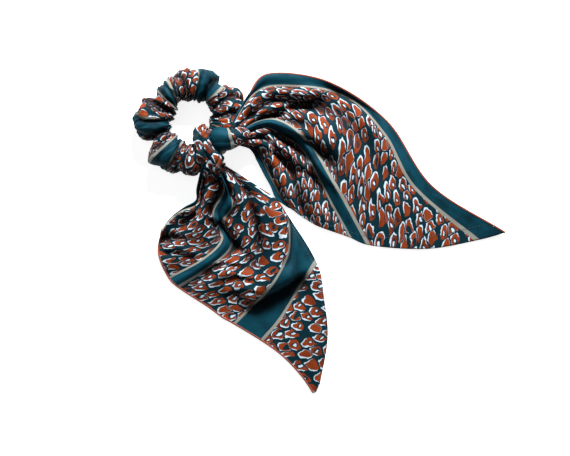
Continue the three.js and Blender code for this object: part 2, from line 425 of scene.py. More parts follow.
    def _spots(self, g: Graph, place: Value) -> tuple[Value, Value, Value, Value]:
        """The leopard spots at a place on the cloth.

        Args:
            g: The material's graph.
            place: The place, in millimetres.

        Returns:
            How much of the place is cap, spot, dark middle and pale slit.
        """
        nearest, in_cell, between = self._cells(g, place)
        aside, along = (g.part(in_cell, axis) for axis in (0, 1))
        chance = g.add("ShaderNodeSeparateColor", {}, {0: nearest.outputs["Color"]})
        small, large, opening = (Value(g, chance.outputs[k]) for k in range(3))
        grown = large.fade(*self.large_chance)
        reach = small * self.spot_reach[1] + grown * self.large_growth + self.spot_reach[0]
        spot, cap = (
            (self._from_drop(aside + shift[0], along + shift[1]) - reach).within(0, self.spot_edge)
            * between.fade(*gap)
            for shift, gap in ((self.spot_shift, self.spot_gap), (self.cap_shift, self.cap_gap))
        )
        leaning = aside + along * self.middle_lean
        lower = along - self.middle_drop
        size = grown * self.middle_size[1] + self.middle_size[0]
        dark_edge, slit_edge = self.oval_edges
        dark = (self._from_oval(leaning, lower, self.dark_tight) / size).within(1, dark_edge)
        into, down = (part + by for part, by in zip((leaning, lower), self.slit_shift))
        slit = (self._from_oval(into, down, self.slit_tight) / size).within(1, slit_edge)
        dark = dark * opening.fade(*self.dark_chance)
        return cap, spot, dark, slit * opening.fade(*self.slit_chance)

    def _cloth(self, g: Graph, flat: Value) -> tuple[Value, Value]:
        """Fine weave and crumple of the cloth.

        Args:
            g: The material's graph.
            flat: The place on the cloth, in millimetres.

        Returns:
            The weave as a height, and a slow unevenness from 0 to 1.
        """
        warp, weft = ((g.part(flat, axis) * (2 * math.pi / self.thread)).sine() for axis in (0, 1))
        return warp * weft * 0.25 + g.noise(flat, 1.3, 3.0), g.noise(flat, 0.06, 2.0)

    def _stripes(self, g: Graph, flat: Value) -> tuple[Value, Value]:
        """The stripes.

        Args:
            g: The material's graph.
            flat: The place on the cloth, in millimetres.

        Returns:
            How much of the place is a stripe's teal, and how much is a stripe with its lines.
        """
        across = g.part(flat, 0) % self.repeat
        from_wide = g.math("MINIMUM", across, self.repeat - across)
        from_narrow = abs(across - self.repeat / 2)
        band, lined = (
            from_wide.within(self.wide_band + line, self.stripe_edge).at_least(
                from_narrow.within(self.narrow_band + line, self.stripe_edge)
            )
            for line in (0.0, self.line_width)
        )
        return band, lined

    def build(self) -> bpy.types.Material:
        """Makes the material.

        Returns:
            The material.
        """
        g = Graph("scarf_print")
        flat = g.flat_place()
        fineness, push = self.uneven
        wave = g.vector("SUBTRACT", g.noise(flat, fineness, 2.2, 1), (0.5, 0.5, 0.5))
        shake = g.vector("MULTIPLY", wave, (push, push, 0.0))
        cap, spot, dark, slit = self._spots(g, g.vector("ADD", flat, shake))
        weave, slow = self._cloth(g, flat)
        band, lined = self._stripes(g, flat)
        ground = g.blend(slow.fade(0.4, 0.68), self.teal, self.deep_teal)
        rust = g.blend(slow.fade(0.42, 0.75), self.rust, self.dark_rust)
        # Painted shade: the point attribute, high deep in folds and creases, darkens the colour
        # there.
        painted_shade = g.node("ShaderNodeAttribute", {"attribute_name": PAINTED_SHADE}, {}, "Fac")
        colour = g.blend(cap, self.dusk, self.pale)
        print_and_shade_layers = (
            (spot, rust),
            (dark, self.dusk),
            (slit, self.pale),
            (lined, self.line),
            (band, ground),
            (weave.fade(0.1, 0.9) * 0.22, self.fold_shade_and_weave_gap),
            # Painted shade in deep folds and creases, not part of the print.
            (painted_shade * self.painted_shade_strength, self.fold_shade_and_weave_gap),
        )
        for share, tint in print_and_shade_layers:
            colour = g.blend(share, colour, tint)
        return g.surface(
            {
                "Base Color": colour,
                "Roughness": slow * 0.16 + 0.56,
                "Normal": g.bump(0.35, 0.0002, weave),
                "Specular IOR Level": 0.08,
            }
        )


@dataclass(frozen=True)
class WoundThread:
    """Dense thread, with its wraps across the length given by the UV map.

    Attributes:
        name: The material's name.
        colour: Colour of a wrap's top.
        shade: Colour between two wraps.
        pitch: From one wrap to the next, in millimetres.
    """

    name: str
    colour: Colour
    shade: Colour
    pitch: float

    def build(self) -> bpy.types.Material:
        """Makes the material.

        Returns:
            The material.
        """
        g = Graph(self.name)
        flat = g.flat_place()
        wraps = (g.part(flat, 1) * (2 * math.pi / self.pitch)).sine() * 0.5 + 0.5
        fuzz = g.noise(flat, 1.7, 3.0)
        return g.surface(
            {
                "Base Color": g.blend(wraps * 0.5 + fuzz * 0.5, self.shade, self.colour),
                "Roughness": fuzz * 0.2 + 0.55,
                "Normal": g.bump(0.6, 0.0003, wraps + fuzz * 0.6),
                "Sheen Weight": 0.2,
            }
        )


@dataclass(frozen=True)
class InnerThread:
    """Sewing thread inside the casing."""

    colour: Colour = THREAD_TEAL
    shade: Colour = THREAD_SHADE

    def build(self) -> bpy.types.Material:
        """Makes the material.

        Returns:
            The material.
        """
        g = Graph("inner_thread")
        place = g.add("ShaderNodeTexCoord", {}, {}).outputs["Object"]
        colour = g.blend(g.noise(place, 900.0, 2.0), self.shade, self.colour)
        return g.surface({"Base Color": colour, "Roughness": 0.7})


@dataclass(frozen=True)
class RibbedElastic:
    """White knitted elastic with fine ribs along its edge.

    Attributes:
        light: Colour of a rib.
        dark: Colour between two ribs.
        rib: From one rib to the next, in metres.
    """

    light: Colour = ink("efece4")
    dark: Colour = ink("c9c4b8")
    rib: float = 0.0011

    def build(self) -> bpy.types.Material:
        """Makes the material.

        Returns:
            The material.
        """
        g = Graph("elastic")
        place = g.add("ShaderNodeTexCoord", {}, {}).outputs["Object"]
        ribs = (g.part(place, 2) * (2 * math.pi / self.rib)).sine() * 0.5 + 0.5
        colour = g.blend(ribs, self.dark, self.light)
        bump = g.bump(0.5, 0.0003, ribs)
        return g.surface({"Base Color": colour, "Roughness": 0.85, "Normal": bump})


# ---- Curves and meshes -------------------------------------------------------------------------


def smooth(t: Array) -> Array:
    """A soft step from 0 to 1."""
    t = np.clip(t, 0.0, 1.0)
    return t * t * (3 - 2 * t)


def through(points: Array, t: Array) -> Array:
    """A smooth curve through points.

    Args:
        points: The points, along the first axis.
        t: Places along it, from 0 to 1.

    Returns:
        The curve's point at each place.
    """
    n = len(points) - 1
    run = np.clip(t, 0.0, 1.0) * n
    i = np.minimum(run.astype(int), n - 1)
    f = (run - i).reshape((-1,) + (1,) * (points.ndim - 1))
    padded = np.concatenate([2 * points[:1] - points[1:2], points, 2 * points[-1:] - points[-2:-1]])
    p0, p1, p2, p3 = padded[i], padded[i + 1], padded[i + 2], padded[i + 3]
    cubic = 2 * p0 - 5 * p1 + 4 * p2 - p3
    return 0.5 * (2 * p1 + (p2 - p0) * f + cubic * f**2 + (3 * p1 - p0 - 3 * p2 + p3) * f**3)


def ramp(at: Array, start: float, length: float) -> Array:
    """A soft step from 0 to 1 that starts at a place and takes some length."""
    return smooth((at - start) / length)


def unit(vectors: Array) -> Array:
    """Each vector at length 1."""
    return vectors / np.maximum(np.linalg.norm(vectors, axis=-1, keepdims=True), 1e-12)


def arc_lengths(route: Array) -> Array:
    """How far along a route each of its points is."""
    return np.concatenate([[0.0], np.cumsum(np.linalg.norm(np.diff(route, axis=0), axis=1))])


def along_route(route: Array, run: Array, s: Array) -> Array:
    """The points at lengths s along a route, whose own points are at lengths run."""
    return np.stack([np.interp(s, run, route[:, k]) for k in range(3)], axis=-1)


def soft_max(a: Array, b: Array, blend: float) -> Array:
    """The greater of two heights, with a soft change between them."""
    lap = np.maximum(blend - np.abs(a - b), 0) / blend
    return np.maximum(a, b) + lap * lap * blend / 4


def ripples(u: Array, v: Array, seed: float) -> Array:
    """Smooth noise at each place, from about -1 to 1."""
    flat = zip(u.ravel(), v.ravel())
    return np.array([noise.noise(Vector((x, y, seed))) for x, y in flat]).reshape(u.shape)


def blurred(heights: Array, reach: int) -> Array:
    """Heights on a grid, each averaged with its neighbours.

    Args:
        heights: The heights.
        reach: How many steps away the neighbours reach, along each side of the grid.

    Returns:
        The averaged heights.
    """
    for axis in (0, 1):
        ends = [(0, 0), (0, 0)]
        ends[axis] = (reach, reach)
        padded = np.pad(heights, ends, mode="edge")
        total = sum(
            np.take(padded, np.arange(k, k + heights.shape[axis]), axis=axis)
            for k in range(2 * reach + 1)
        )
        heights = total / (2 * reach + 1)
    return heights


def mesh_of(bm: bmesh.types.BMesh, name: str) -> bpy.types.Mesh:
    """Ends a bmesh in a mesh.

    Args:
        bm: The bmesh, which is freed.
        name: The mesh's name.

    Returns:
        The mesh.
    """
    mesh = bpy.data.meshes.new(name)
    bm.to_mesh(mesh)
    bm.free()
    return mesh


def placed(name: str, data: bpy.types.ID) -> bpy.types.Object:
    """Puts a mesh, a lamp or a camera in the scene.

    Args:
        name: The object's name.
        data: What it shows.

    Returns:
        The new object.
    """
    made = bpy.data.objects.new(name, data)
    bpy.context.scene.collection.objects.link(made)
    return made


def report(piece: bpy.types.Object) -> None:
    """Logs a finished piece."""
    LOG.info("%s: %d faces", piece.name, len(piece.data.polygons))


def grid_piece(
    name: str, points: Array, cloth: Array, weld: bool = False, painted_shade: Optional[Array] = None
) -> bpy.types.Object:
    """A piece made from a flat grid that is bent to its shape.

    Args:
        name: The piece's name.
        points: Where each of the grid's points goes, in metres, by its step along X and along Y.
        cloth: Its place on the flat cloth, in metres.
        weld: Whether the grid closes on itself, so that its meeting edges are merged.
        painted_shade: Painted shade at each point for its depth in a fold, from 0 to 1, if known.

    Returns:
        The new object.
    """
    steps = points.shape[0] - 1, points.shape[1] - 1
    bm = bmesh.new()
    bm.loops.layers.uv.new(CLOTH_MAP)
    bmesh.ops.create_grid(bm, x_segments=steps[0], y_segments=steps[1], size=0.5, calc_uvs=True)
    mesh = mesh_of(bm, name)
    flat = np.zeros(len(mesh.vertices) * 3)
    mesh.vertices.foreach_get("co", flat)
    row = np.rint((flat[0::3] + 0.5) * steps[0]).astype(int)
    column = np.rint((flat[1::3] + 0.5) * steps[1]).astype(int)
    mesh.vertices.foreach_set("co", points[row, column].ravel())
    corner = np.zeros(len(mesh.loops), int)
    mesh.loops.foreach_get("vertex_index", corner)
    mesh.uv_layers[CLOTH_MAP].data.foreach_set("uv", cloth[row, column][corner].ravel())
    # Painted shade, kept on the points for the print to darken its colour by.
    if painted_shade is not None:
        shade_values = mesh.attributes.new(PAINTED_SHADE, "FLOAT", "POINT")
        shade_values.data.foreach_set("value", np.clip(painted_shade, 0.0, 1.0)[row, column])
    if weld:
        bm = bmesh.new()
        bm.from_mesh(mesh)
        bmesh.ops.remove_doubles(bm, verts=bm.verts, dist=WELD)
        bmesh.ops.recalc_face_normals(bm, faces=bm.faces)
        bm.to_mesh(mesh)
        bm.free()
    mesh.shade_smooth()
    return placed(name, mesh)


def face_up(piece: bpy.types.Object) -> None:
    """Turns an open sheet's faces so that most of them look up.

    Args:
        piece: The sheet.
    """
    normals = np.zeros(len(piece.data.polygons) * 3)
    piece.data.polygons.foreach_get("normal", normals)
    if normals[2::3].sum() < 0:
        piece.data.flip_normals()


def dress(piece: bpy.types.Object, ground: Ground, finishes: Finishes) -> None:
    """Gives a piece its finish.

    Args:
        piece: The piece.
        ground: Which finish it wears.
        finishes: The materials.
    """
    piece.data.materials.clear()
    piece.data.materials.append(finishes[ground])


def thread_piece(
    name: str, route: Array, radius: float, wrap: float, sides: int = 8
) -> bpy.types.Object:
    """A round wound thread along a route, closed to a point at both ends.

    Args:
        name: The piece's name.
        route: The middle of the thread, in metres.
        radius: The thread's radius in metres.
        wrap: Length of one wound turn in metres.
        sides: Sides round it.

    Returns:
        The new object.
    """
    run = arc_lengths(route)
    steps = int(run[-1] / (wrap / 4))
    s = np.linspace(0.0, run[-1], steps + 1)
    middle = along_route(route, run, s)
    tangent = unit(along_route(route, run, s + radius) - along_route(route, run, s - radius))
    side = unit(np.cross(tangent, [0.0, 0.0, 1.0]))
    up = np.cross(side, tangent)
    from_end = np.minimum(s, run[-1] - s)
    cap = np.sqrt(1 - np.clip(1 - from_end / radius, 0, 1) ** 2)
    turn = np.linspace(0.0, 2 * math.pi, sides + 1)
    swell = 1.0 + 0.12 * np.sin(2 * math.pi * s[:, None] / wrap + turn)
    reach = (radius * cap[:, None] * swell)[..., None]
    out = np.cos(turn)[:, None] * side[:, None] + np.sin(turn)[:, None] * up[:, None]
    cloth = np.stack(np.broadcast_arrays(turn * radius, s[:, None]), axis=-1)
    return grid_piece(name, middle[:, None] + reach * out, cloth, weld=True)


@dataclass(frozen=True)
class Stitch:
    """One stitch's length, the gap to the next and the thread's radius, in millimetres."""

    length: float
    gap: float
    radius: float


def stitch_row(name: str, route: Array, stitch: Stitch) -> bpy.types.Object:
    """A row of running stitches, each a small rounded thread.

    Args:
        name: The piece's name.
        route: The line that the stitches follow, in metres.
        stitch: The stitches' sizes.

    Returns:
        The new object.
    """
    length, gap, radius = stitch.length * MM, stitch.gap * MM, stitch.radius * MM
    run = arc_lengths(route)
    bm = bmesh.new()
    bm.loops.layers.uv.new(CLOTH_MAP)
    starts = np.arange(gap, run[-1] - length, length + gap)
    ends = zip(along_route(route, run, starts), along_route(route, run, starts + length))
    for start, end in ends:
        turn = Vector(end - start).to_track_quat("Z", "Y").to_matrix().to_4x4()
        size = Matrix.Diagonal((radius, radius, length / 2, 1.0))
        place = Matrix.Translation((start + end) / 2) @ turn @ size
        bmesh.ops.create_uvsphere(
            bm, u_segments=6, v_segments=5, radius=1.0, matrix=place, calc_uvs=True
        )
    mesh = mesh_of(bm, name)
    mesh.shade_smooth()
    return placed(name, mesh)


def thicken(piece: bpy.types.Object, thickness: float) -> None:
    """Gives a sheet its thickness, half to each side.

    Args:
        piece: The sheet.
        thickness: The cloth's thickness in metres.
    """
    solid = piece.modifiers.new("cloth_thickness", "SOLIDIFY")
    solid.thickness = thickness
    solid.offset = 0.0
    solid.use_even_offset = False


# ---- The scarf's free ends ---------------------------------------------------------------------


@dataclass(frozen=True)
class ClothLine:
    """A line on the cloth that runs at one place across the print.

    Attributes:
        across: Its place across the print, in millimetres.
        points: Where it lies, from the middle of the knot, with its height above the table.
        neck: The side of the knot that it leaves from in degrees, if it does.
        neck_height: Its height there.
    """

    across: float
    points: tuple[tuple[float, float, float], ...]
    neck: Optional[float] = None
    neck_height: float = 19.0

    def laid(self, neck_radius: float) -> Array:
        """All its points, the one at the knot first.

        Args:
            neck_radius: How far from the knot's middle the cloth leaves it.

        Returns:
            The points in millimetres.
        """
        points = [list(p) for p in self.points]
        if self.neck is not None:
            turn = math.radians(self.neck)
            start = [neck_radius * math.cos(turn), neck_radius * math.sin(turn), self.neck_height]
            points.insert(0, start)
        return np.array(points, float)


@dataclass(frozen=True)
class Fold:
    """A fold in laid cloth, seen from above: it rises on the line's left and dips on its right.

    Attributes:
        line: The fold's foot, from the middle of the knot.
        rise: Half the height of the step.
        steep: Width of the steep side.
        soft: How far the step reaches on each side.
        groove: Depth of a groove along the foot.
        fades: Shares of its length over which it starts and ends.
    """

    line: tuple[tuple[float, float], ...]
    rise: float
    steep: float = 2.0
    soft: float = 12.0
    groove: float = 0.0
    fades: tuple[float, float] = (0.22, 0.3)

    def _from_foot(self, x: Array, y: Array) -> tuple[Array, Array]:
        """Where each place is from the fold's foot.

        Args:
            x: The places' X.
            y: The places' Y.

        Returns:
            The distance from the foot, above 0 on its left, and the share of the foot's length
            at which it is nearest.
        """
        pieces_a_point = 6
        count = pieces_a_point * len(self.line)
        foot = through(np.array(self.line, float), np.linspace(0, 1, count + 1))
        nearest = np.full(x.shape, np.inf)
        signed = np.zeros(x.shape)
        share = np.zeros(x.shape)
        for k, (a, b) in enumerate(zip(foot[:-1], foot[1:])):
            d = b - a
            t = np.clip(((x - a[0]) * d[0] + (y - a[1]) * d[1]) / (d @ d), 0, 1)
            dx, dy = x - a[0] - t * d[0], y - a[1] - t * d[1]
            distance = np.hypot(dx, dy)
            closer = distance < nearest
            nearest = np.where(closer, distance, nearest)
            signed = np.where(closer, distance * np.sign(d[0] * dy - d[1] * dx), signed)
            share = np.where(closer, (k + t) / count, share)
        return signed, share

    def height(self, x: Array, y: Array) -> Array:
        """What the fold adds to the cloth's height.

        Args:
            x: The places' X.
            y: The places' Y.

        Returns:
            The height at each place.
        """
        signed, share = self._from_foot(x, y)
        ends = smooth(share / self.fades[0]) * smooth((1 - share) / self.fades[1])
        lifted = self.rise * (0.5 + np.tanh(signed / self.steep))
        step = lifted * np.exp(-((signed / self.soft) ** 2))
        groove = self.groove * np.exp(-((signed / (2 * self.steep)) ** 2))
        return ends * (step - groove)


def cloth_lengths(points: Array) -> Array:
    """How far along the cloth each point of a laid grid is.

    The print on a laid cloth is neither stretched along its lines nor skewed across them, as far
    as both can hold at once, which is found by least squares.

    Args:
        points: The grid's points, by line and by step along the line.

    Returns:
        The length at each point, with the smallest at 0.
    """
    rows, columns = points.shape[:2]
    index = np.arange(rows * columns).reshape(rows, columns)
    along = np.diff(points, axis=1)
    tangent = unit(np.gradient(points, axis=1))
    over = np.diff(points, axis=0)
    lean = (over * unit(tangent[:-1] + tangent[1:])).sum(axis=-1)
    starts = np.concatenate([index[:, :-1].ravel(), index[:-1].ravel()])
    ends = np.concatenate([index[:, 1:].ravel(), index[1:].ravel()])
    wanted = np.concatenate([np.linalg.norm(along, axis=-1).ravel(), lean.ravel()])
    true_to_length, true_across, least_step = 1.6, 0.6, 0.5
    weights = np.concatenate(
        [
            true_to_length / np.maximum(np.linalg.norm(along, axis=-1), least_step).ravel(),
            true_across / np.maximum(np.linalg.norm(over, axis=-1), least_step).ravel(),
        ]
    )
    system = np.zeros((len(wanted), rows * columns))
    system[np.arange(len(wanted)), starts] = -weights
    system[np.arange(len(wanted)), ends] = weights
    found = np.linalg.lstsq(system, wanted * weights, rcond=None)[0].reshape(rows, columns)
    return found - found.min()


class Hem(Enum):
    """Which edge of a free end carries the rolled hem."""

    FIRST_LINE = "first line"
    LINE_ENDS = "line ends"


@dataclass(frozen=True)
class KnotPleats:
    """The pleats that the knot draws a free end into.

    A stretch is where it starts and how long it is, in millimetres from the middle of the knot.

    Attributes:
        count: Pleats over one repeat of the print.
        seed: Seed of their wander.
        repeat: The print's repeat.
        ridge_at: Place across the print of the top of one pleat.
        wander: How far they wander, in pleats.
        wander_size: Size of the wander across the print and away from the knot.
        depth: Their least height, and what they gain where they are deepest.
        opens: Stretch over which they grow deep.
        flattens: Stretch over which they lose most of that.
        flat_share: How much of it they lose.
        ends: Stretch over which they die out.
        hidden: How much of the print the pleats hide at the knot, from 0 to 1.
        unfolds: Stretch over which it comes back into sight.
    """

    count: int
    seed: float
    repeat: float = 144.0
    ridge_at: float = 71.0
    wander: float = 0.3
    wander_size: tuple[float, float] = (45.0, 60.0)
    depth: tuple[float, float] = (1.0, 2.2)
    opens: tuple[float, float] = (12.0, 30.0)
    flattens: tuple[float, float] = (50.0, 90.0)
    flat_share: float = 0.85
    ends: tuple[float, float] = (110.0, 60.0)
    hidden: float = 0.85
    unfolds: tuple[float, float] = (18.0, 55.0)

    def phase(self, across: Array, away: Array) -> Array:
        """Where each place is in its pleat.

        Args:
            across: Places across the print.
            away: Their distances from the middle of the knot.

        Returns:
            The angle, which is a whole number of turns at the top of a pleat.
        """
        size = self.wander_size
        wander = ripples(across / size[0], away / size[1], self.seed)
        turns = self.count * (across - self.ridge_at) / self.repeat
        return 2 * math.pi * (turns + self.wander * wander * smooth(away / size[1]))

    def height(self, away: Array) -> Array:
        """How high the pleats stand at each distance from the middle of the knot."""
        swell = ramp(away, *self.opens) * (1 - self.flat_share * ramp(away, *self.flattens))
        return (self.depth[0] + self.depth[1] * swell) * (1 - ramp(away, *self.ends))

    def shown(self, across: Array, away: Array, phase: Array) -> Array:
        """The print that is in sight, as the pleats hide the rest.

        Args:
            across: Places across the print.
            away: Their distances from the middle of the knot.
            phase: Where each is in its pleat.

        Returns:
            The place across the print that each shows.
        """
        near = self.hidden * (1 - ramp(away, *self.unfolds))
        return across - near * self.repeat / (2 * math.pi * self.count) * np.sin(phase)


@dataclass
class FreeEnd:
    """One free end of the scarf: its cloth, its rolled hem and the stitches of its cut edge.

    Attributes:
        name: The end's name, with which its pieces' names start.
        body: A body name for its pieces, which is not used.
        knot: Middle of the knot in the frame, in metres.
        ring_middle: Middle of the ring in the frame, in metres.
        heading: Which way it leaves the knot, in degrees.
        lines: Lines on the cloth and where they lie.
        folds: The folds it is laid in.
        pleats: Its pleats at the knot.
        hem: Which edge carries the rolled hem.
        flat_size: Width and length of its pattern in metres, which is not used.
        flat_area: Area of its cloth in square metres, which is not used.
        steps: Steps of its grid across and along the print.
        print_shift: Place along the print at the knot.
        flips: Whether the print runs towards the knot.
        neck_radius: How far from the knot's middle the cloth leaves it.
        cloth: The cloth's thickness.
        ring_radius: Radius of the ring's middle.
        tube_radius: Radius at which the cloth lies on the ring's tube.
        tube_middle: Height of the tube's middle.
        hem_radius: Radius of the rolled hem.
        hem_drop: How far below the cloth's edge the hem goes where it is tucked in at the knot.
        tucked: Share of the edge where the tucked part ends, and over which it comes out.
        stitch: The running stitches' sizes.
        stitch_inset: How far in from the cut edge they are, as a share of the cloth.
        stitch_from: Share of the cut edge that is hidden and has none.
        bend: Stretch away from the knot, whose ends are worked out but not used.
    """

    name: str
    body: str
    knot: Array
    ring_middle: Array
    heading: float
    lines: tuple[ClothLine, ...]
    folds: tuple[Fold, ...]
    pleats: KnotPleats
    hem: Hem
    flat_size: tuple[float, float]
    flat_area: float
    steps: tuple[int, int]
    print_shift: float = 0.0
    flips: bool = False
    neck_radius: float = 15.2
    cloth: float = 1.0
    ring_radius: float = 34.0
    tube_radius: float = 16.4
    tube_middle: float = 12.5
    hem_radius: float = 0.95
    hem_drop: float = 1.6
    tucked: tuple[float, float] = (0.12, 0.1)
    stitch: Stitch = Stitch(2.0, 0.9, 0.26)
    stitch_inset: float = 0.035
    stitch_from: float = 0.42
    bend: tuple[float, float] = (12.0, 46.0)

    def _base(self, across: Array, along: Array) -> Array:
        """The laid cloth without its folds, from the middle of the knot, as a grid of points."""
        curves = np.array([through(line.laid(self.neck_radius), along) for line in self.lines])
        return through(curves, across)

    def _flat(self, across: Array, along: Array) -> tuple[Array, Array]:
        """The grid's places on the flat cloth.

        The lengths are found on a coarse grid and read off between its points.

        Args:
            across: The grid's lines, from 0 to 1.
            along: Its steps along a line, from 0 to 1.

        Returns:
            Each point's place across the print, and its length along the cloth.
        """
        marked = np.array([[line.across] for line in self.lines], float)
        places = np.repeat(through(marked, across), len(along), axis=1)
        coarse = np.linspace(0, 1, 17), np.linspace(0, 1, 33)
        lengths = cloth_lengths(self._base(*coarse))
        rows = np.array([np.interp(across, coarse[0], column) for column in lengths.T])
        return places, np.array([np.interp(along, coarse[1], row) for row in rows.T])

    def _fall(self, x: Array, y: Array) -> Array:
        """Height of cloth that falls from the top of the ring to the table.

        Args:
            x: The places' X, from the middle of the knot.
            y: Their Y.

        Returns:
            The height at each place.
        """
        middle = (self.ring_middle - self.knot)[:2] / MM
        out = np.abs(np.hypot(x - middle[0], y - middle[1]) - self.ring_radius)
        leaves = self.tube_radius * math.sin(math.pi / 4)
        top = np.sqrt(np.maximum(self.tube_radius**2 - out**2, 0))
        return self.tube_middle + np.where(out < leaves, top, 2 * leaves - out)

    def surface(self) -> tuple[Array, Array, Array]:
        """The cloth's middle surface.

        Returns:
            Its points in metres in the frame, their places on the flat cloth in metres, and the
            painted shade of each, from how deep it lies inside a fold.
        """
        across = np.linspace(0, 1, self.steps[0] + 1)
        along = np.linspace(0, 1, self.steps[1] + 1)
        points = self._base(across, along)
        q, v = self._flat(across, along)
        x, y = points[..., 0], points[..., 1]
        away = np.hypot(x, y)
        phase = self.pleats.phase(q, away)
        pleat = self.pleats.height(away)
        seed = self.pleats.seed
        crumple = 0.5 * ripples(q / 9, v / 26, seed + 7) + 0.25 * ripples(q / 5, v / 9, seed + 3)
        height = points[..., 2] + pleat * np.cos(phase) + crumple
        for fold in self.folds:
            height = height + fold.height(x, y)
        above_table, table_blend = 0.3, 1.2
        floor = self.cloth / 2 + above_table
        height = soft_max(height, np.full_like(height, floor), table_blend)
        above_ring, ring_blend = 1.0, 3.0
        fall = self._fall(x, y) + 0.6 * pleat * np.cos(phase) + above_ring
        points = np.stack([x, y, soft_max(height, fall, ring_blend)], axis=-1)
        v = self.print_shift + (-v if self.flips else v)
        place = points * MM + np.array([self.knot[0], self.knot[1], 0.0])
        # Painted shade: cloth lying lower than the cloth round it gets a darker colour, for the
        # shade in its folds.
        steps_round, least_dip, dip_to_full_shade = 9, 0.35, 1.7
        dip = blurred(points[..., 2], steps_round) - points[..., 2]
        painted_shade = (dip - least_dip) / dip_to_full_shade
        return place, np.stack([self.pleats.shown(q, away, phase), v], axis=-1) * MM, painted_shade

    def _edge(self, points: Array) -> Array:
        """The route of the rolled hem.

        Args:
            points: The cloth's points in metres.

        Returns:
            The route's points in metres.
        """
        if self.hem is Hem.LINE_ENDS:
            return points[:, -1]
        tucked = 1 - ramp(np.linspace(0, 1, points.shape[1]), *self.tucked)
        lines_in = 6
        inwards = points[lines_in] - points[0]
        return points[0] + tucked[:, None] * (inwards - np.array([0, 0, self.hem_drop * MM]))

    def _cut_edge(self, points: Array) -> Array:
        """The route of the stitches along the cut edge, a little inside it.

        Args:
            points: The cloth's points in metres.

        Returns:
            The route's points in metres.
        """
        if self.hem is Hem.FIRST_LINE:
            column = -1 - int(self.stitch_inset * self.steps[1])
            route = points[:, column]
        else:
            first = int(self.steps[0] * self.stitch_from)
            route = points[first:, int(self.stitch_inset * 2 * self.steps[1])]
        proud = 0.1
        return route + np.array([0, 0, (self.cloth / 2 + proud) * MM])

    def _bend(self, piece: bpy.types.Object) -> None:
        """Bakes a piece's place into its mesh.

        Args:
            piece: The piece.
        """
        turn = math.radians(self.heading)
        ahead = np.array([math.cos(turn), math.sin(turn), 0.0])
        start, end = (self.knot + ahead * distance * MM for distance in self.bend)
        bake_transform(piece)

    def build(self, finishes: Finishes) -> None:
        """Makes and dresses this end's three pieces.

        Args:
            finishes: The materials.
        """
        points, cloth, painted_shade = self.surface()
        sheet = grid_piece(self.name + "_cloth", points, cloth, painted_shade=painted_shade)
        face_up(sheet)
        thicken(sheet, self.cloth * MM)
        dress(sheet, Ground.PRINT, finishes)
        hem_route = self._edge(points)
        hem = thread_piece(
            self.name + "_rolled_hem", hem_route, self.hem_radius * MM, HEM_WRAP * MM
        )
        dress(hem, Ground.RUST, finishes)
        stitches = stitch_row(self.name + "_running_stitch", self._cut_edge(points), self.stitch)
        dress(stitches, Ground.THREAD, finishes)
        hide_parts(self.name)
        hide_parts(self.name + "_hem")
        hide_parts(self.name + "_topstitch")
        for piece in (sheet, hem, stitches):
            self._bend(piece)
            report(piece)


# ---- The gathered ring -------------------------------------------------------------------------


@dataclass(frozen=True)
class Crease:
    """A crease of the gathered casing.

    Attributes:
        at: Its place round the ring, in degrees.
        deep: Its depth in millimetres.
        lean: How far it leans as it goes over the tube.
        wide: Its width in millimetres.
        side: Where it is deepest, as an angle round the tube.
        share: Share of its depth that it loses on the far side.
    """

    at: float
    deep: float
    lean: float
    wide: float
    side: float = 0.0
    share: float = 0.15


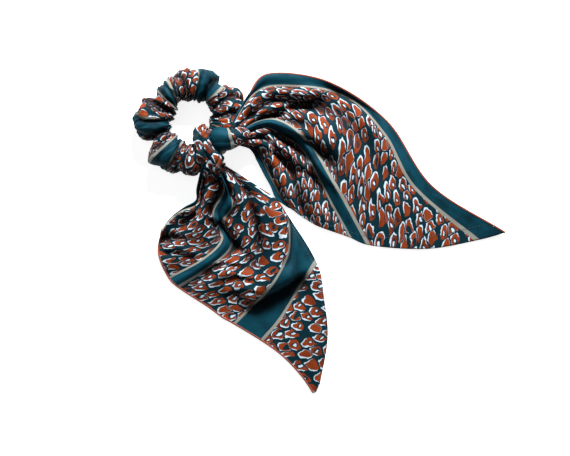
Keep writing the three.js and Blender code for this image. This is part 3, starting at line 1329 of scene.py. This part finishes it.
@dataclass
class GatheredRing:
    """The casing: printed cloth gathered into soft lobes round the ring.

    Angles are in degrees round the ring, from the frame's X axis. Lengths are in millimetres.

    Attributes:
        middle: Middle of the ring in the frame, in metres.
        knot_angle: The knot's angle.
        squashed: The tube's height.
        tube_middle: Height of the tube's middle.
        ring_radius: Radius of the ring's middle.
        reach: Half the tube's width where it has its full height.
        steps: Steps of its grid round the ring and round the tube.
        outer: The outer edge's distance from the middle of the ring, at some angles.
        inner: The same for the inner edge.
        rim_blur: Steps over which the edges' corners are rounded.
        print_round: Place across the print that shows, at some angles.
        creases: The large creases.
        small_creases: How many small ones there are, with chance depths.
        small_least: Least offset, depth, lean, width, side and share of a small crease.
        small_most: The greatest.
        fullness: How far the cloth stands out past the edges.
        lumps: Height of its soft lumps.
        wrinkles: Depth of its fine wrinkles.
        wander: How far a crease strays from its line.
        print_rate: Print that runs by to a length of the ring, where no crease hides any.
        seed: Seed of the small creases.
        at_knot: Share of the relief that is left at the knot, and over how many degrees it grows.
        stitch: Sizes of the stitches that close the casing.
    """

    middle: Array
    knot_angle: float = -42.0
    squashed: float = 27.0
    tube_middle: float = 12.6
    ring_radius: float = 34.0
    reach: float = 14.5
    steps: tuple[int, int] = (620, 110)
    outer: tuple[tuple[float, float], ...] = (
        (-42, 40), (-20, 46), (0, 50), (24, 53), (30, 52.8), (38, 49.4), (51, 44.5), (57, 50.6),
        (63, 50.4), (78, 47.8), (90, 47), (100, 46.9), (110, 44.2), (118, 43.1), (134, 42.6),
        (146, 39.4), (154, 48.6), (170, 50), (187, 51.5), (203, 48.6), (208, 42), (219, 49.4),
        (225, 53), (240, 50.9), (259, 49.7), (270, 49.9), (285, 47.8), (300, 45), (318, 40),
    )
    inner: tuple[tuple[float, float], ...] = (
        (-42, 24), (-25, 21), (-8, 20), (9, 18), (39, 23), (61, 20), (91, 18.4), (123, 19.7),
        (136, 14.8), (161, 14.1), (185, 19), (206, 19), (226, 19.2), (258, 19.8), (273, 22.5),
        (290, 22), (318, 24),
    )
    print_round: tuple[tuple[float, float], ...] = (
        (-42, 62), (-5, 84), (48, 126), (66.5, 144), (85, 162), (123, 208), (132, 216), (141, 224),
        (170, 270), (188, 288), (206, 306), (228, 352), (238, 360), (249, 368), (318, 428),
    )
    creases: tuple[Crease, ...] = (
        Crease(52, 6.5, 0.25, 3.6), Crease(147, 6.5, 0.3, 3.6), Crease(208, 6.5, -0.2, 3.6),
        Crease(18, 4.5, 0.4, 3.2), Crease(84, 4.0, 0.4, 3), Crease(112, 4.4, -0.35, 3),
        Crease(166, 3.6, 0.5, 3), Crease(190, 4.0, 0.5, 3), Crease(236, 4.4, 0.4, 3),
        Crease(262, 4.6, -0.4, 3), Crease(284, 4.4, 0.4, 3), Crease(128, 3.6, 0.3, 3),
    )
    rim_blur: int = 15
    small_creases: int = 30
    small_least: tuple[float, ...] = (-6, 1.2, -0.7, 1.6, -math.pi, 0.5)
    small_most: tuple[float, ...] = (6, 3.8, 0.7, 2.8, math.pi, 1.0)
    fullness: float = 2.6
    lumps: float = 1.2
    wrinkles: float = 2.0
    wander: float = 1.2
    print_rate: float = 1.1
    seed: int = 5
    at_knot: tuple[float, float] = (0.35, 12.0)
    stitch: Stitch = Stitch(2.4, 0.8, 0.35)

    def _rims(self, degrees: Array) -> list[Array]:
        """The outer and the inner edge at each angle, with their corners rounded.

        Args:
            degrees: The angles.

        Returns:
            Each edge's distances from the middle of the ring.
        """
        kernel = np.hanning(self.rim_blur) / np.hanning(self.rim_blur).sum()
        half = self.rim_blur // 2
        rims = []
        for table in (self.outer, self.inner):
            rim = np.interp(degrees, *np.array(table, float).T)
            closed = np.concatenate([rim[-half - 1 : -1], rim, rim[1 : half + 1]])
            rims.append(np.convolve(closed, kernel, "valid"))
        return rims

    def _all_creases(self) -> list[Crease]:
        """The large creases and the small ones.

        Returns:
            The creases, the large ones first.
        """
        draw = np.random.default_rng(self.seed)
        made = list(self.creases)
        for at in np.linspace(-30, 306, self.small_creases):
            offset, *sizes = draw.uniform(self.small_least, self.small_most)
            made.append(Crease(at + offset, *sizes))
        return made

    def _printed(self, degrees: Array, creases: list[Crease], arc: float) -> tuple[Array, Array]:
        """How the print runs round the ring.

        Between two angles of the table it runs at its true scale, and what is left over is
        hidden in the creases there.

        Args:
            degrees: The angles.
            creases: The creases.
            arc: Length of the ring's middle to a degree.

        Returns:
            The place across the print at each angle without what is hidden, and what each crease
            hides.
        """
        marks, places = np.array(self.print_round, float).T
        rate = self.print_rate * arc
        spare = np.diff(places) - rate * np.diff(marks)
        within = np.searchsorted(marks, [crease.at for crease in creases]) - 1
        sharing = np.bincount(within, minlength=len(spare))
        slope = np.where(sharing > 0, rate, np.diff(places) / np.diff(marks))
        starts = places[0] + np.concatenate([[0.0], np.cumsum(slope * np.diff(marks))])
        return np.interp(degrees, marks, starts), spare[within] / sharing[within]

    def surface(self) -> tuple[Array, Array, Array]:
        """The casing's surface.

        Returns:
            Its points in metres, their places on the flat cloth in metres, and the painted shade
            of each, darkest in the creases and wrinkles.
        """
        end = self.knot_angle + 360
        degrees = np.linspace(self.knot_angle, end, self.steps[0] + 1)
        outer, inner = self._rims(degrees)
        angle = np.radians(degrees)[:, None]
        b = np.linspace(-math.pi, math.pi, self.steps[1] + 1)[None, :]
        middle = ((outer + inner) / 2)[:, None]
        reach = ((outer - inner) / 2)[:, None]
        tall = self.squashed / 2 * (0.62 + 0.38 * smooth(reach / self.reach))
        ring_x, ring_y = np.cos(angle) * 3.1, np.sin(angle) * 3.1
        slow = ripples(ring_x + 0 * b, ring_y + 0.4 * np.sin(b), 2.0)
        quick = ripples(ring_x * 2.3 + 0.5 * np.cos(b), ring_y * 2.3 + 0.5 * np.sin(b), 9.0)
        wrinkle = ripples(degrees[:, None] / 7 + 1.1 * np.sin(b), 1.6 * np.cos(b) + 0 * ring_x, 4.0)
        puff = self.fullness + self.lumps * quick + self.wrinkles * (0.4 - np.abs(wrinkle))
        degrees_a_radian = 57.3
        arc = self.ring_radius / degrees_a_radian
        creases = self._all_creases()
        run, jumps = self._printed(degrees, creases, arc)
        shown = run[:, None] + 0 * b
        # Painted shade: colour darkened along the creases and in the fine wrinkles, for the shade
        # inside them.
        painted_shade = 0 * puff
        shade_width_share, shade_per_depth, jump_width = 0.72, 0.26, 0.9
        for crease, jump in zip(creases, jumps):
            off = (degrees[:, None] - crease.at) * arc - crease.lean * 20 * np.sin(b)
            off = off + self.wander * slow
            here = 1 - crease.share * (0.5 - 0.5 * np.cos(b - crease.side))
            puff = puff - 1.25 * crease.deep * here * np.exp(-np.sqrt(off**2 + 0.2) / crease.wide)
            # Painted shade along this crease, darker where the crease is deeper.
            dark = np.exp(-((off / (shade_width_share * crease.wide)) ** 2))
            painted_shade = painted_shade + shade_per_depth * crease.deep * here * dark
            shown = shown + jump * (0.5 + 0.5 * np.tanh(off / jump_width))
        from_knot = np.minimum(degrees - self.knot_angle, end - degrees)[:, None]
        left, grows = self.at_knot
        puff = puff * (left + (1 - left) * smooth(from_knot / grows))
        out = middle + (reach + puff) * np.cos(b)
        up = self.tube_middle + (tall + 0.8 * puff) * np.sin(b)
        up = soft_max(up, np.zeros_like(up) + 0.2, 2.5)
        points = np.stack([out * np.cos(angle), out * np.sin(angle), up], axis=-1) * MM
        around = 14.0 * b + 2.0 * slow + 0.35 * (shown - shown.mean())
        cloth = np.stack([shown + 2.5 * np.sin(b + 0.6), around], axis=-1) * MM
        points[-1] = points[0]
        # The fine wrinkles add to the painted shade.
        return points + self.middle, cloth, painted_shade + 0.9 * (0.25 - np.abs(wrinkle))

    def build(self, finishes: Finishes) -> None:
        """Makes and dresses the casing and its stitches.

        Args:
            finishes: The materials.
        """
        points, cloth, painted_shade = self.surface()
        piece = grid_piece("gathered_casing", points, cloth, weld=True, painted_shade=painted_shade)
        dress(piece, Ground.PRINT, finishes)
        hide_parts("ring_casing")
        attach(piece, "ring")
        seam = stitch_row("casing_seam_stitches", points[:, 0], self.stitch)
        dress(seam, Ground.THREAD, finishes)
        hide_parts("casing_seam_thread")
        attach(seam, "ring")
        for made in (piece, seam):
            report(made)


# ---- The knot ----------------------------------------------------------------------------------


@dataclass
class KnotBand:
    """A pleated band of the scarf's cloth, as a fat closed strip along a route.

    Attributes:
        name: The piece's name.
        knot: Middle of the knot in the frame, in metres.
        route: The band's middle, from the middle of the knot, with its height above the table.
        half_width: Half its width, level and across the route.
        half_depth: Half its thickness.
        side: Which way its width points.
        print_start: Place across the print at one side.
        print_width: How much of the print shows across it.
        pleats: Pleats over its whole outline.
        closed: Whether it ends where it starts.
        striped_across: Whether the stripes cross it, where they otherwise run along it.
        pleat_depth: Depth of the pleats.
        replaced: The frame's nodes that it stands for.
        steps: Steps of its grid along it and round it.
        seed: Seed of its unevenness.
        widths: Its width along the route, as shares of its full width.
        crumple: Height of its sharp wrinkles.
        uneven: Height of its slow unevenness.
        pleat_wander: How far the pleats wander, as an angle.
    """

    name: str
    knot: Array
    route: tuple[tuple[float, float, float], ...]
    half_width: float
    half_depth: float
    side: tuple[float, float, float]
    print_start: float
    print_width: float
    pleats: int
    closed: bool = False
    striped_across: bool = False
    pleat_depth: float = 0.7
    replaced: tuple[str, ...] = ()
    steps: tuple[int, int] = (150, 120)
    seed: float = 0.0
    widths: tuple[float, ...] = (1.0, 1.0)
    crumple: float = 0.0
    uneven: float = 0.8
    pleat_wander: float = 0.9

    def _middle(self, t: Array) -> tuple[Array, Array]:
        """The band's middle.

        Args:
            t: Places along it, from 0 to 1.

        Returns:
            Its points, and its direction at each of them.
        """
        route = np.array(self.route, float)
        if not self.closed:
            middle = through(route, t)
            return middle, unit(np.gradient(middle, axis=0))
        wrapped = np.concatenate([route[-2:], route, route[:3]])
        middle = through(wrapped, (2 + t * len(route)) / (len(wrapped) - 1))
        ring = np.concatenate([middle[-4:-1], middle, middle[1:4]])
        return middle, unit(np.gradient(ring, axis=0))[3:-3]

    def _relief(self, phase: Array, shake: Array, run: Array, turn: Array) -> tuple[Array, Array]:
        """The band's pleats and wrinkles.

        Args:
            phase: Where each point is in its pleat.
            shake: The band's slow unevenness.
            run: How far along the band each row of points is.
            turn: The angle of each column of points, round the band.

        Returns:
            How far each point stands out, and its painted shade in the wrinkles and between pleats.
        """
        ridge = np.abs(np.cos(phase / 2))
        lean = run / 7 + 0.9 * np.cos(turn)
        wrinkle = np.abs(ripples(lean, 1.3 * np.sin(turn) + 0 * lean, self.seed + 2))
        puff = self.pleat_depth * (2 * ridge - 1) + self.uneven * shake
        puff = puff + self.crumple * (np.minimum(wrinkle * 2.5, 1.0) - 0.7)
        # Painted shade: darker colour in the sharp wrinkles and between the pleats.
        painted_shade = (0.2 - wrinkle) * 3.2 * min(self.crumple, 1.0)
        return puff, np.maximum(painted_shade, 0.8 * (0.25 - ridge) * self.pleat_depth)

    def surface(self) -> tuple[Array, Array, Array]:
        """The band's surface.

        Returns:
            Its points in metres, their places on the flat cloth in metres, and the painted shade
            of each, darkest in the wrinkles and between the pleats.
        """
        t = np.linspace(0, 1, self.steps[0] + 1)
        middle, tangent = self._middle(t)
        run = arc_lengths(middle)
        level = np.array(self.side, float)
        side = unit(level - (tangent @ level)[:, None] * tangent)
        up = np.cross(tangent, side)
        turn = np.linspace(-math.pi, math.pi, self.steps[1] + 1)[None, :]
        wide = np.interp(t, np.linspace(0, 1, len(self.widths)), self.widths)[:, None]
        swing = np.cos(2 * math.pi * t)[:, None] if self.closed else 2 * t[:, None]
        shake = ripples(1.4 * np.cos(turn) + swing, 1.4 * np.sin(turn) + 0 * swing, self.seed)
        phase = self.pleats * turn + self.pleat_wander * shake
        puff, painted_shade = self._relief(phase, shake, run[:, None], turn)
        from_end = np.minimum(run, run[-1] - run) / self.half_depth
        cap = np.sqrt(1 - np.clip(1 - from_end, 0, 1) ** 2)[:, None]
        if self.closed:
            cap = np.ones_like(cap)
        along_side = (self.half_width * wide + puff) * np.cos(turn) * cap
        along_up = (self.half_depth + puff) * np.sin(turn) * cap
        points = (
            middle[:, None]
            + along_side[..., None] * side[:, None]
            + along_up[..., None] * up[:, None]
        )
        if self.closed:
            points[-1] = points[0]
        if self.striped_across:
            shown = self.print_start + self.print_width * t[:, None] + 0 * turn + 1.2 * shake
            along = self.half_width * turn + 0 * t[:, None]
        else:
            shown = self.print_start + self.print_width * (0.5 + 0.5 * np.cos(turn) * wide)
            shown = shown - 0.4 * np.sin(phase)
            along = run[:, None] + 1.5 * shake
        cloth = np.stack([shown, along], axis=-1)
        offset = np.array([self.knot[0], self.knot[1], 0.0])
        return points * MM + offset, cloth * MM, painted_shade

    def build(self, finishes: Finishes) -> None:
        """Makes and dresses the band.

        Args:
            finishes: The materials.
        """
        points, cloth, painted_shade = self.surface()
        piece = grid_piece(self.name, points, cloth, weld=True, painted_shade=painted_shade)
        dress(piece, Ground.PRINT, finishes)
        if self.replaced:
            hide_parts(*self.replaced)
        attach(piece, "ring")
        report(piece)


# ---- The scrunchie ------------------------------------------------------------------------------

UPPER_LINES = (
    ClothLine(
        0,
        ((28, 46, 14), (48, 66, 8), (103, 58, 6), (156, 22, 5), (197, -37, 4), (265, -80, 3.5)),
        neck=50, neck_height=20,
    ),
    ClothLine(
        16,
        ((35, 48, 14), (65, 55, 10), (117, 46, 4), (153, 11, 6), (181, -38, 4), (239, -87, 1)),
        neck=46, neck_height=21,
    ),
    ClothLine(
        39,
        ((42, 34, 8), (68, 40, 4), (108, 28, 8), (133, -2, 7), (154, -45, 5), (193, -95, 1)),
        neck=38, neck_height=19,
    ),
    ClothLine(
        62,
        ((42, 24, 8), (64, 21, 9), (87, 2, 11), (103, -24, 7), (118, -49, 5), (142, -92, 1)),
        neck=32, neck_height=20,
    ),
    ClothLine(
        82,
        ((42, 16, 9), (57, 10, 3), (75, -2, 4), (90, -26, 4), (102, -51, 5), (120, -84, 1)),
        neck=26, neck_height=21,
    ),
    ClothLine(
        105,
        ((41, 6, 10), (52, -3, 9), (64, -15, 4), (74, -33, 8), (81, -52, 5), (90, -73, 1)),
        neck=18, neck_height=20,
    ),
    ClothLine(
        128,
        ((34, -3, 9), (41, -13, 7), (47, -25, 5), (53, -37, 4), (60, -49, 3), (73, -62, 1)),
        neck=10, neck_height=19,
    ),
    ClothLine(
        144,
        ((29, -3, 7), (36, -14, 3), (42, -26, 3), (48, -37, 2), (53, -48, 2), (61, -54, 1)),
        neck=2, neck_height=17,
    ),
)
UPPER_FOLDS = (
    Fold(
        ((18, 20), (36, 28), (55, 33), (75, 40), (95, 45), (112, 43)),
        rise=5.4, steep=2.4, soft=15, groove=3.0,
    ),
    Fold(
        ((20, 11), (44, 12), (66, 10), (85, 4), (100, -6), (114, -20)),
        rise=5.2, steep=2.4, soft=14, groove=3.0,
    ),
    Fold(
        ((22, 3), (43, -2), (62, -12), (80, -23), (96, -35)),
        rise=4.4, steep=2.2, soft=12, groove=2.6,
    ),
    Fold(((82, -14), (94, -26), (106, -38), (114, -54)), rise=2.2, soft=12),
    Fold(((50, 26), (66, 24), (84, 22), (98, 16)), rise=1.8, soft=9),
    Fold(((120, 30), (140, 8), (160, -20), (180, -42)), rise=1.4, soft=22, steep=5),
    Fold(((130, -30), (155, -55), (180, -75)), rise=1.0, soft=18, steep=5),
)

LOWER_LINES = (
    ClothLine(
        2,
        ((-19, -38, 11), (-20, -50, 8), (-31, -57, 8), (-43, -66, 7), (-51, -77, 4)),
        neck=-138, neck_height=18,
    ),
    ClothLine(
        17,
        ((-16, -40, 12), (-20, -55, 9), (-33, -61, 8), (-44, -69, 7), (-52, -79, 4)),
        neck=-130, neck_height=18,
    ),
    ClothLine(
        38,
        ((-13, -39, 15), (-16, -59, 12), (-26, -76, 9), (-40, -89, 4), (-55, -98, 3)),
        neck=-122, neck_height=20,
    ),
    ClothLine(
        60,
        ((5, -37, 13), (-6, -60, 5), (1, -83, 7), (-14, -101, 8), (-47, -119, 2)),
        neck=-108, neck_height=19,
    ),
    ClothLine(
        80,
        ((13, -52, 11), (5, -70, 4), (12, -92, 5), (-9, -112, 7), (-37, -130, 2)),
        neck=-95, neck_height=20,
    ),
    ClothLine(
        103,
        ((26, -45, 12), (31, -68, 10), (34, -93, 5), (15, -122, 8), (-11, -147, 2)),
        neck=-84, neck_height=18,
    ),
    ClothLine(
        118,
        ((48, -45, 7), (53, -66, 12), (54, -90, 12), (42, -116, 9), (23, -139, 4), (4, -158, 1)),
    ),
    ClothLine(
        126,
        ((62, -61, 6), (64, -76, 10), (63, -98, 12), (50, -124, 9), (31, -145, 3), (13, -163, 1)),
    ),
    ClothLine(
        161,
        ((91, -108, 3), (84, -118, 7), (76, -130, 3), (66, -147, 2), (55, -164, 2), (41, -180, 1)),
    ),
    ClothLine(
        178,
        ((98, -142, 3), (91, -150, 4), (84, -161, 4), (76, -172, 3), (68, -184, 2), (60, -194, 1)),
    ),
    ClothLine(
        194,
        ((101, -177, 2), (97, -183, 3), (92, -191, 3), (87, -198, 3), (83, -205, 2), (77, -212, 1)),
    ),
    ClothLine(
        206,
        ((94, -219, 2), (93, -221, 2), (92, -223, 2), (91, -225, 2), (90, -227, 1), (88, -228, 1)),
    ),
)
LOWER_FOLDS = (
    Fold(
        ((22, -151), (42, -140), (64, -127), (88, -112)),
        rise=6.0, steep=2.4, soft=18, groove=1.5,
    ),
    Fold(
        ((12, -38), (8, -52), (2, -64), (6, -76), (18, -90), (38, -112)),
        rise=5.0, steep=2.2, soft=11, groove=3.0,
    ),
    Fold(((-12, -66), (-2, -70), (10, -72)), rise=2.6, steep=1.3, soft=6, groove=1.6),
    Fold(((-3, -122), (18, -120), (44, -127)), rise=1.6, soft=7, steep=1.2),
    Fold(((2, -138), (20, -133), (42, -135)), rise=1.5, soft=7, steep=1.2),
    Fold(((-16, -114), (4, -108), (30, -112)), rise=1.4, soft=7, steep=1.2),
    Fold(((-64, -84), (-44, -81), (-24, -86)), rise=2.2, soft=7, steep=1.3, groove=0.8),
    Fold(((-54, -98), (-34, -97), (-16, -104)), rise=2.0, soft=7, steep=1.3, groove=0.8),
    Fold(((-46, -66), (-30, -62), (-14, -64)), rise=1.8, soft=6, steep=1.3, groove=0.8),
    Fold(((-14, -34), (-16, -54), (-25, -68), (-36, -78)), rise=2.6, soft=9, groove=1.4),
    Fold(((26, -46), (36, -62), (40, -84), (36, -106)), rise=2.2, soft=10, steep=2),
    Fold(((54, -70), (58, -88), (54, -110)), rise=1.4, soft=12, steep=3),
)


@dataclass
class Scrunchie:
    """The whole object: ring, knot and the scarf's two free ends.

    Attributes:
        ring_radius: Radius of the ring's middle, in millimetres.
        knot_angle: The knot's angle round the ring, in degrees.
        finishes: The materials, once they are made.
    """

    ring_radius: float = 34.0
    knot_angle: float = -42.0
    finishes: Finishes = field(default_factory=dict)

    def _places(self) -> tuple[Array, Array]:
        """Finds the ring and the knot in the frame.

        Returns:
            The middle of the ring and the middle of the knot, in metres, on the table.
        """
        hinge = next(j for j in frame["joints"] if j["name"] == "upper_tail_lift")
        knot = np.array([hinge["pos_m"][0], hinge["pos_m"][1], 0.0])
        turn = math.radians(self.knot_angle)
        back = np.array([math.cos(turn), math.sin(turn), 0.0]) * self.ring_radius * MM
        return knot - back, knot

    def _make_finishes(self) -> None:
        """Makes every material that the pieces share."""
        rust = WoundThread("rust_overlock", RUST_SILK, RUST_SHADE, HEM_WRAP)
        thread = WoundThread("seam_thread", THREAD_TEAL, THREAD_SHADE, pitch=0.8)
        self.finishes = {
            Ground.PRINT: ScarfPrint().build(),
            Ground.RUST: rust.build(),
            Ground.THREAD: thread.build(),
            Ground.ELASTIC: RibbedElastic().build(),
        }

    def _dress_inside(self) -> None:
        """Dresses the pieces inside the casing, which keep their own shapes."""
        inside = {
            "elastic_band": self.finishes[Ground.ELASTIC],
            "elastic_join_stitch": InnerThread().build(),
        }
        for name, finish in inside.items():
            for place in frame["nodes"][name].material_slots:
                place.material = finish
            LOG.info("%s: dressed", name)

    def _bands(self, knot: Array) -> tuple[KnotBand, ...]:
        """The cloth of the knot.

        Args:
            knot: The middle of the knot, in metres.

        Returns:
            The loop round the tube, the crumpled strap beside the knot and the wrap over it.
        """
        loop = KnotBand(
            "loop_band",
            knot,
            route=(
                (-2, 4, 2.4), (-9, 7, 4), (-13, 10, 12), (-9, 8, 23),
                (-2, 2, 27), (3, -3, 23), (6, -5, 12), (3, -3, 3.4),
            ),
            half_width=8.0,
            half_depth=1.5,
            side=(0.67, 0.74, 0.0),
            print_start=96,
            print_width=26,
            pleats=7,
            closed=True,
            pleat_depth=0.35,
            replaced=("scarf_loop",),
            seed=3.0,
        )
        strap = KnotBand(
            "knot_strap",
            knot,
            route=(
                (-12, 16, 11), (-14, 11, 18), (-13, 4, 24), (-10, -4, 27),
                (-6, -12, 26), (-4, -20, 21), (-3, -29, 13),
            ),
            half_width=9.4,
            half_depth=5.6,
            side=(1.0, 0.35, 0.0),
            print_start=89,
            print_width=20,
            pleats=5,
            pleat_depth=0.9,
            seed=5.0,
            widths=(0.6, 0.85, 1.05, 1.12, 1.15, 1.1, 1.0),
            crumple=2.0,
        )
        wrap = KnotBand(
            "knot_wrap",
            knot,
            route=(
                (-6, 4, 20), (-3, 5, 22), (3, 5.5, 24), (10, 6, 24),
                (17, 8, 23), (24, 10, 21), (29, 12, 19),
            ),
            half_width=11.5,
            half_depth=9.5,
            side=(0.0, 1.0, 0.0),
            print_start=132,
            print_width=52,
            pleats=5,
            striped_across=True,
            pleat_depth=0.35,
            replaced=("scarf_knot",),
            seed=8.0,
            widths=(0.7, 0.97, 1.0, 0.92, 0.8, 0.66, 0.5),
        )
        return loop, strap, wrap

    @staticmethod
    def _free_ends(knot: Array, ring_middle: Array) -> tuple[FreeEnd, ...]:
        """The scarf's two free ends.

        Args:
            knot: The middle of the knot, in metres.
            ring_middle: The middle of the ring, in metres.

        Returns:
            The upper end and the lower end.
        """
        upper = FreeEnd(
            "upper_tail",
            "upper_end",
            knot,
            ring_middle,
            heading=-20.5,
            lines=UPPER_LINES,
            folds=UPPER_FOLDS,
            pleats=KnotPleats(6, 11.0),
            hem=Hem.FIRST_LINE,
            flat_size=(0.144, 0.34),
            flat_area=0.0270,
            steps=(150, 236),
        )
        lower = FreeEnd(
            "lower_tail",
            "lower_end",
            knot,
            ring_middle,
            heading=-63.7,
            lines=LOWER_LINES,
            folds=LOWER_FOLDS,
            pleats=KnotPleats(6, 23.0),
            hem=Hem.LINE_ENDS,
            flat_size=(0.23, 0.2),
            flat_area=0.0220,
            steps=(236, 150),
            print_shift=60.0,
            flips=True,
        )
        return upper, lower

    def build(self) -> None:
        """Makes and dresses every piece."""
        ring_middle, knot = self._places()
        self._make_finishes()
        self._dress_inside()
        GatheredRing(ring_middle).build(self.finishes)
        for part in (*self._bands(knot), *self._free_ends(knot, ring_middle)):
            part.build(self.finishes)


# ---- The studio ---------------------------------------------------------------------------------


@dataclass(frozen=True)
class Lamp:
    """A square soft light: its name, place, width in metres and power in watts."""

    name: str
    place: tuple[float, float, float]
    size: float
    watts: float


@dataclass
class Studio:
    """A pale table seen from straight above, with soft light from the top of the view.

    Attributes:
        middle: The table's place that the camera looks at, in metres.
        width: Width of what is seen at mean_height, in metres.
        lens: The camera's focal length in millimetres.
        sensor: Its sensor's width in millimetres.
        mean_height: Height of the cloth that is seen at its true size.
        table_size: Half the table's width.
        table_tone: The table's colour, the same for red, green and blue.
        table_glow: How much light the table gives of its own.
        surroundings: Strength of the light from all round.
        lamps: The lamps.
    """

    middle: tuple[float, float] = (-0.0346, 0.0037)
    width: float = 0.5244
    lens: float = 120.0
    sensor: float = 36.0
    mean_height: float = 0.008
    table_size: float = 6.0
    table_tone: float = 0.9
    table_glow: float = 0.82
    surroundings: float = 0.1
    lamps: tuple[Lamp, ...] = (
        Lamp("key_light", (0.2, 1.5, 0.9), 0.4, 92.0),
        Lamp("fill_light", (-0.9, 0.4, 1.6), 1.2, 3.0),
    )

    def _light(self, lamp: Lamp) -> None:
        """Adds a lamp that shines at the object.

        Args:
            lamp: The lamp.
        """
        light = bpy.data.lights.new(lamp.name, "AREA")
        light.energy = lamp.watts
        light.size = lamp.size
        made = placed(lamp.name, light)
        made.location = lamp.place
        aim = Vector((*self.middle, 0.0)) - Vector(lamp.place)
        made.rotation_euler = aim.to_track_quat("-Z", "Y").to_euler()

    def _table(self) -> None:
        """Adds the table."""
        bm = bmesh.new()
        bmesh.ops.create_grid(bm, x_segments=1, y_segments=1, size=self.table_size)
        mesh = mesh_of(bm, "table")
        top = {
            "Base Color": (*[self.table_tone] * 3, 1.0),
            "Roughness": 0.9,
            "Emission Color": (1.0, 1.0, 1.0, 1.0),
            "Emission Strength": self.table_glow,
        }
        mesh.materials.append(Graph("table").surface(top))
        placed("table", mesh)

    def _camera(self) -> None:
        """Adds the camera, straight above."""
        camera = bpy.data.cameras.new("camera")
        camera.lens = self.lens
        camera.sensor_width = self.sensor
        seen = placed("camera", camera)
        distance = self.width * self.lens / self.sensor
        seen.location = (*self.middle, distance + self.mean_height)
        bpy.context.scene.camera = seen

    def build(self) -> None:
        """Adds the table, the lamps, the light from all round and the camera."""
        self._table()
        for lamp in self.lamps:
            self._light(lamp)
        world = bpy.data.worlds.new("studio")
        world.use_nodes = True
        around = world.node_tree.nodes["Background"].inputs
        around[0].default_value = (1.0, 1.0, 1.0, 1.0)
        around[1].default_value = self.surroundings
        bpy.context.scene.world = world
        self._camera()
        bpy.context.scene.view_settings.view_transform = "Standard"


def main() -> None:
    """Builds the scrunchie and its studio."""
    logging.basicConfig(level=logging.INFO, format="%(message)s")
    Scrunchie().build()
    Studio().build()


if __name__ == "__main__":
    main()
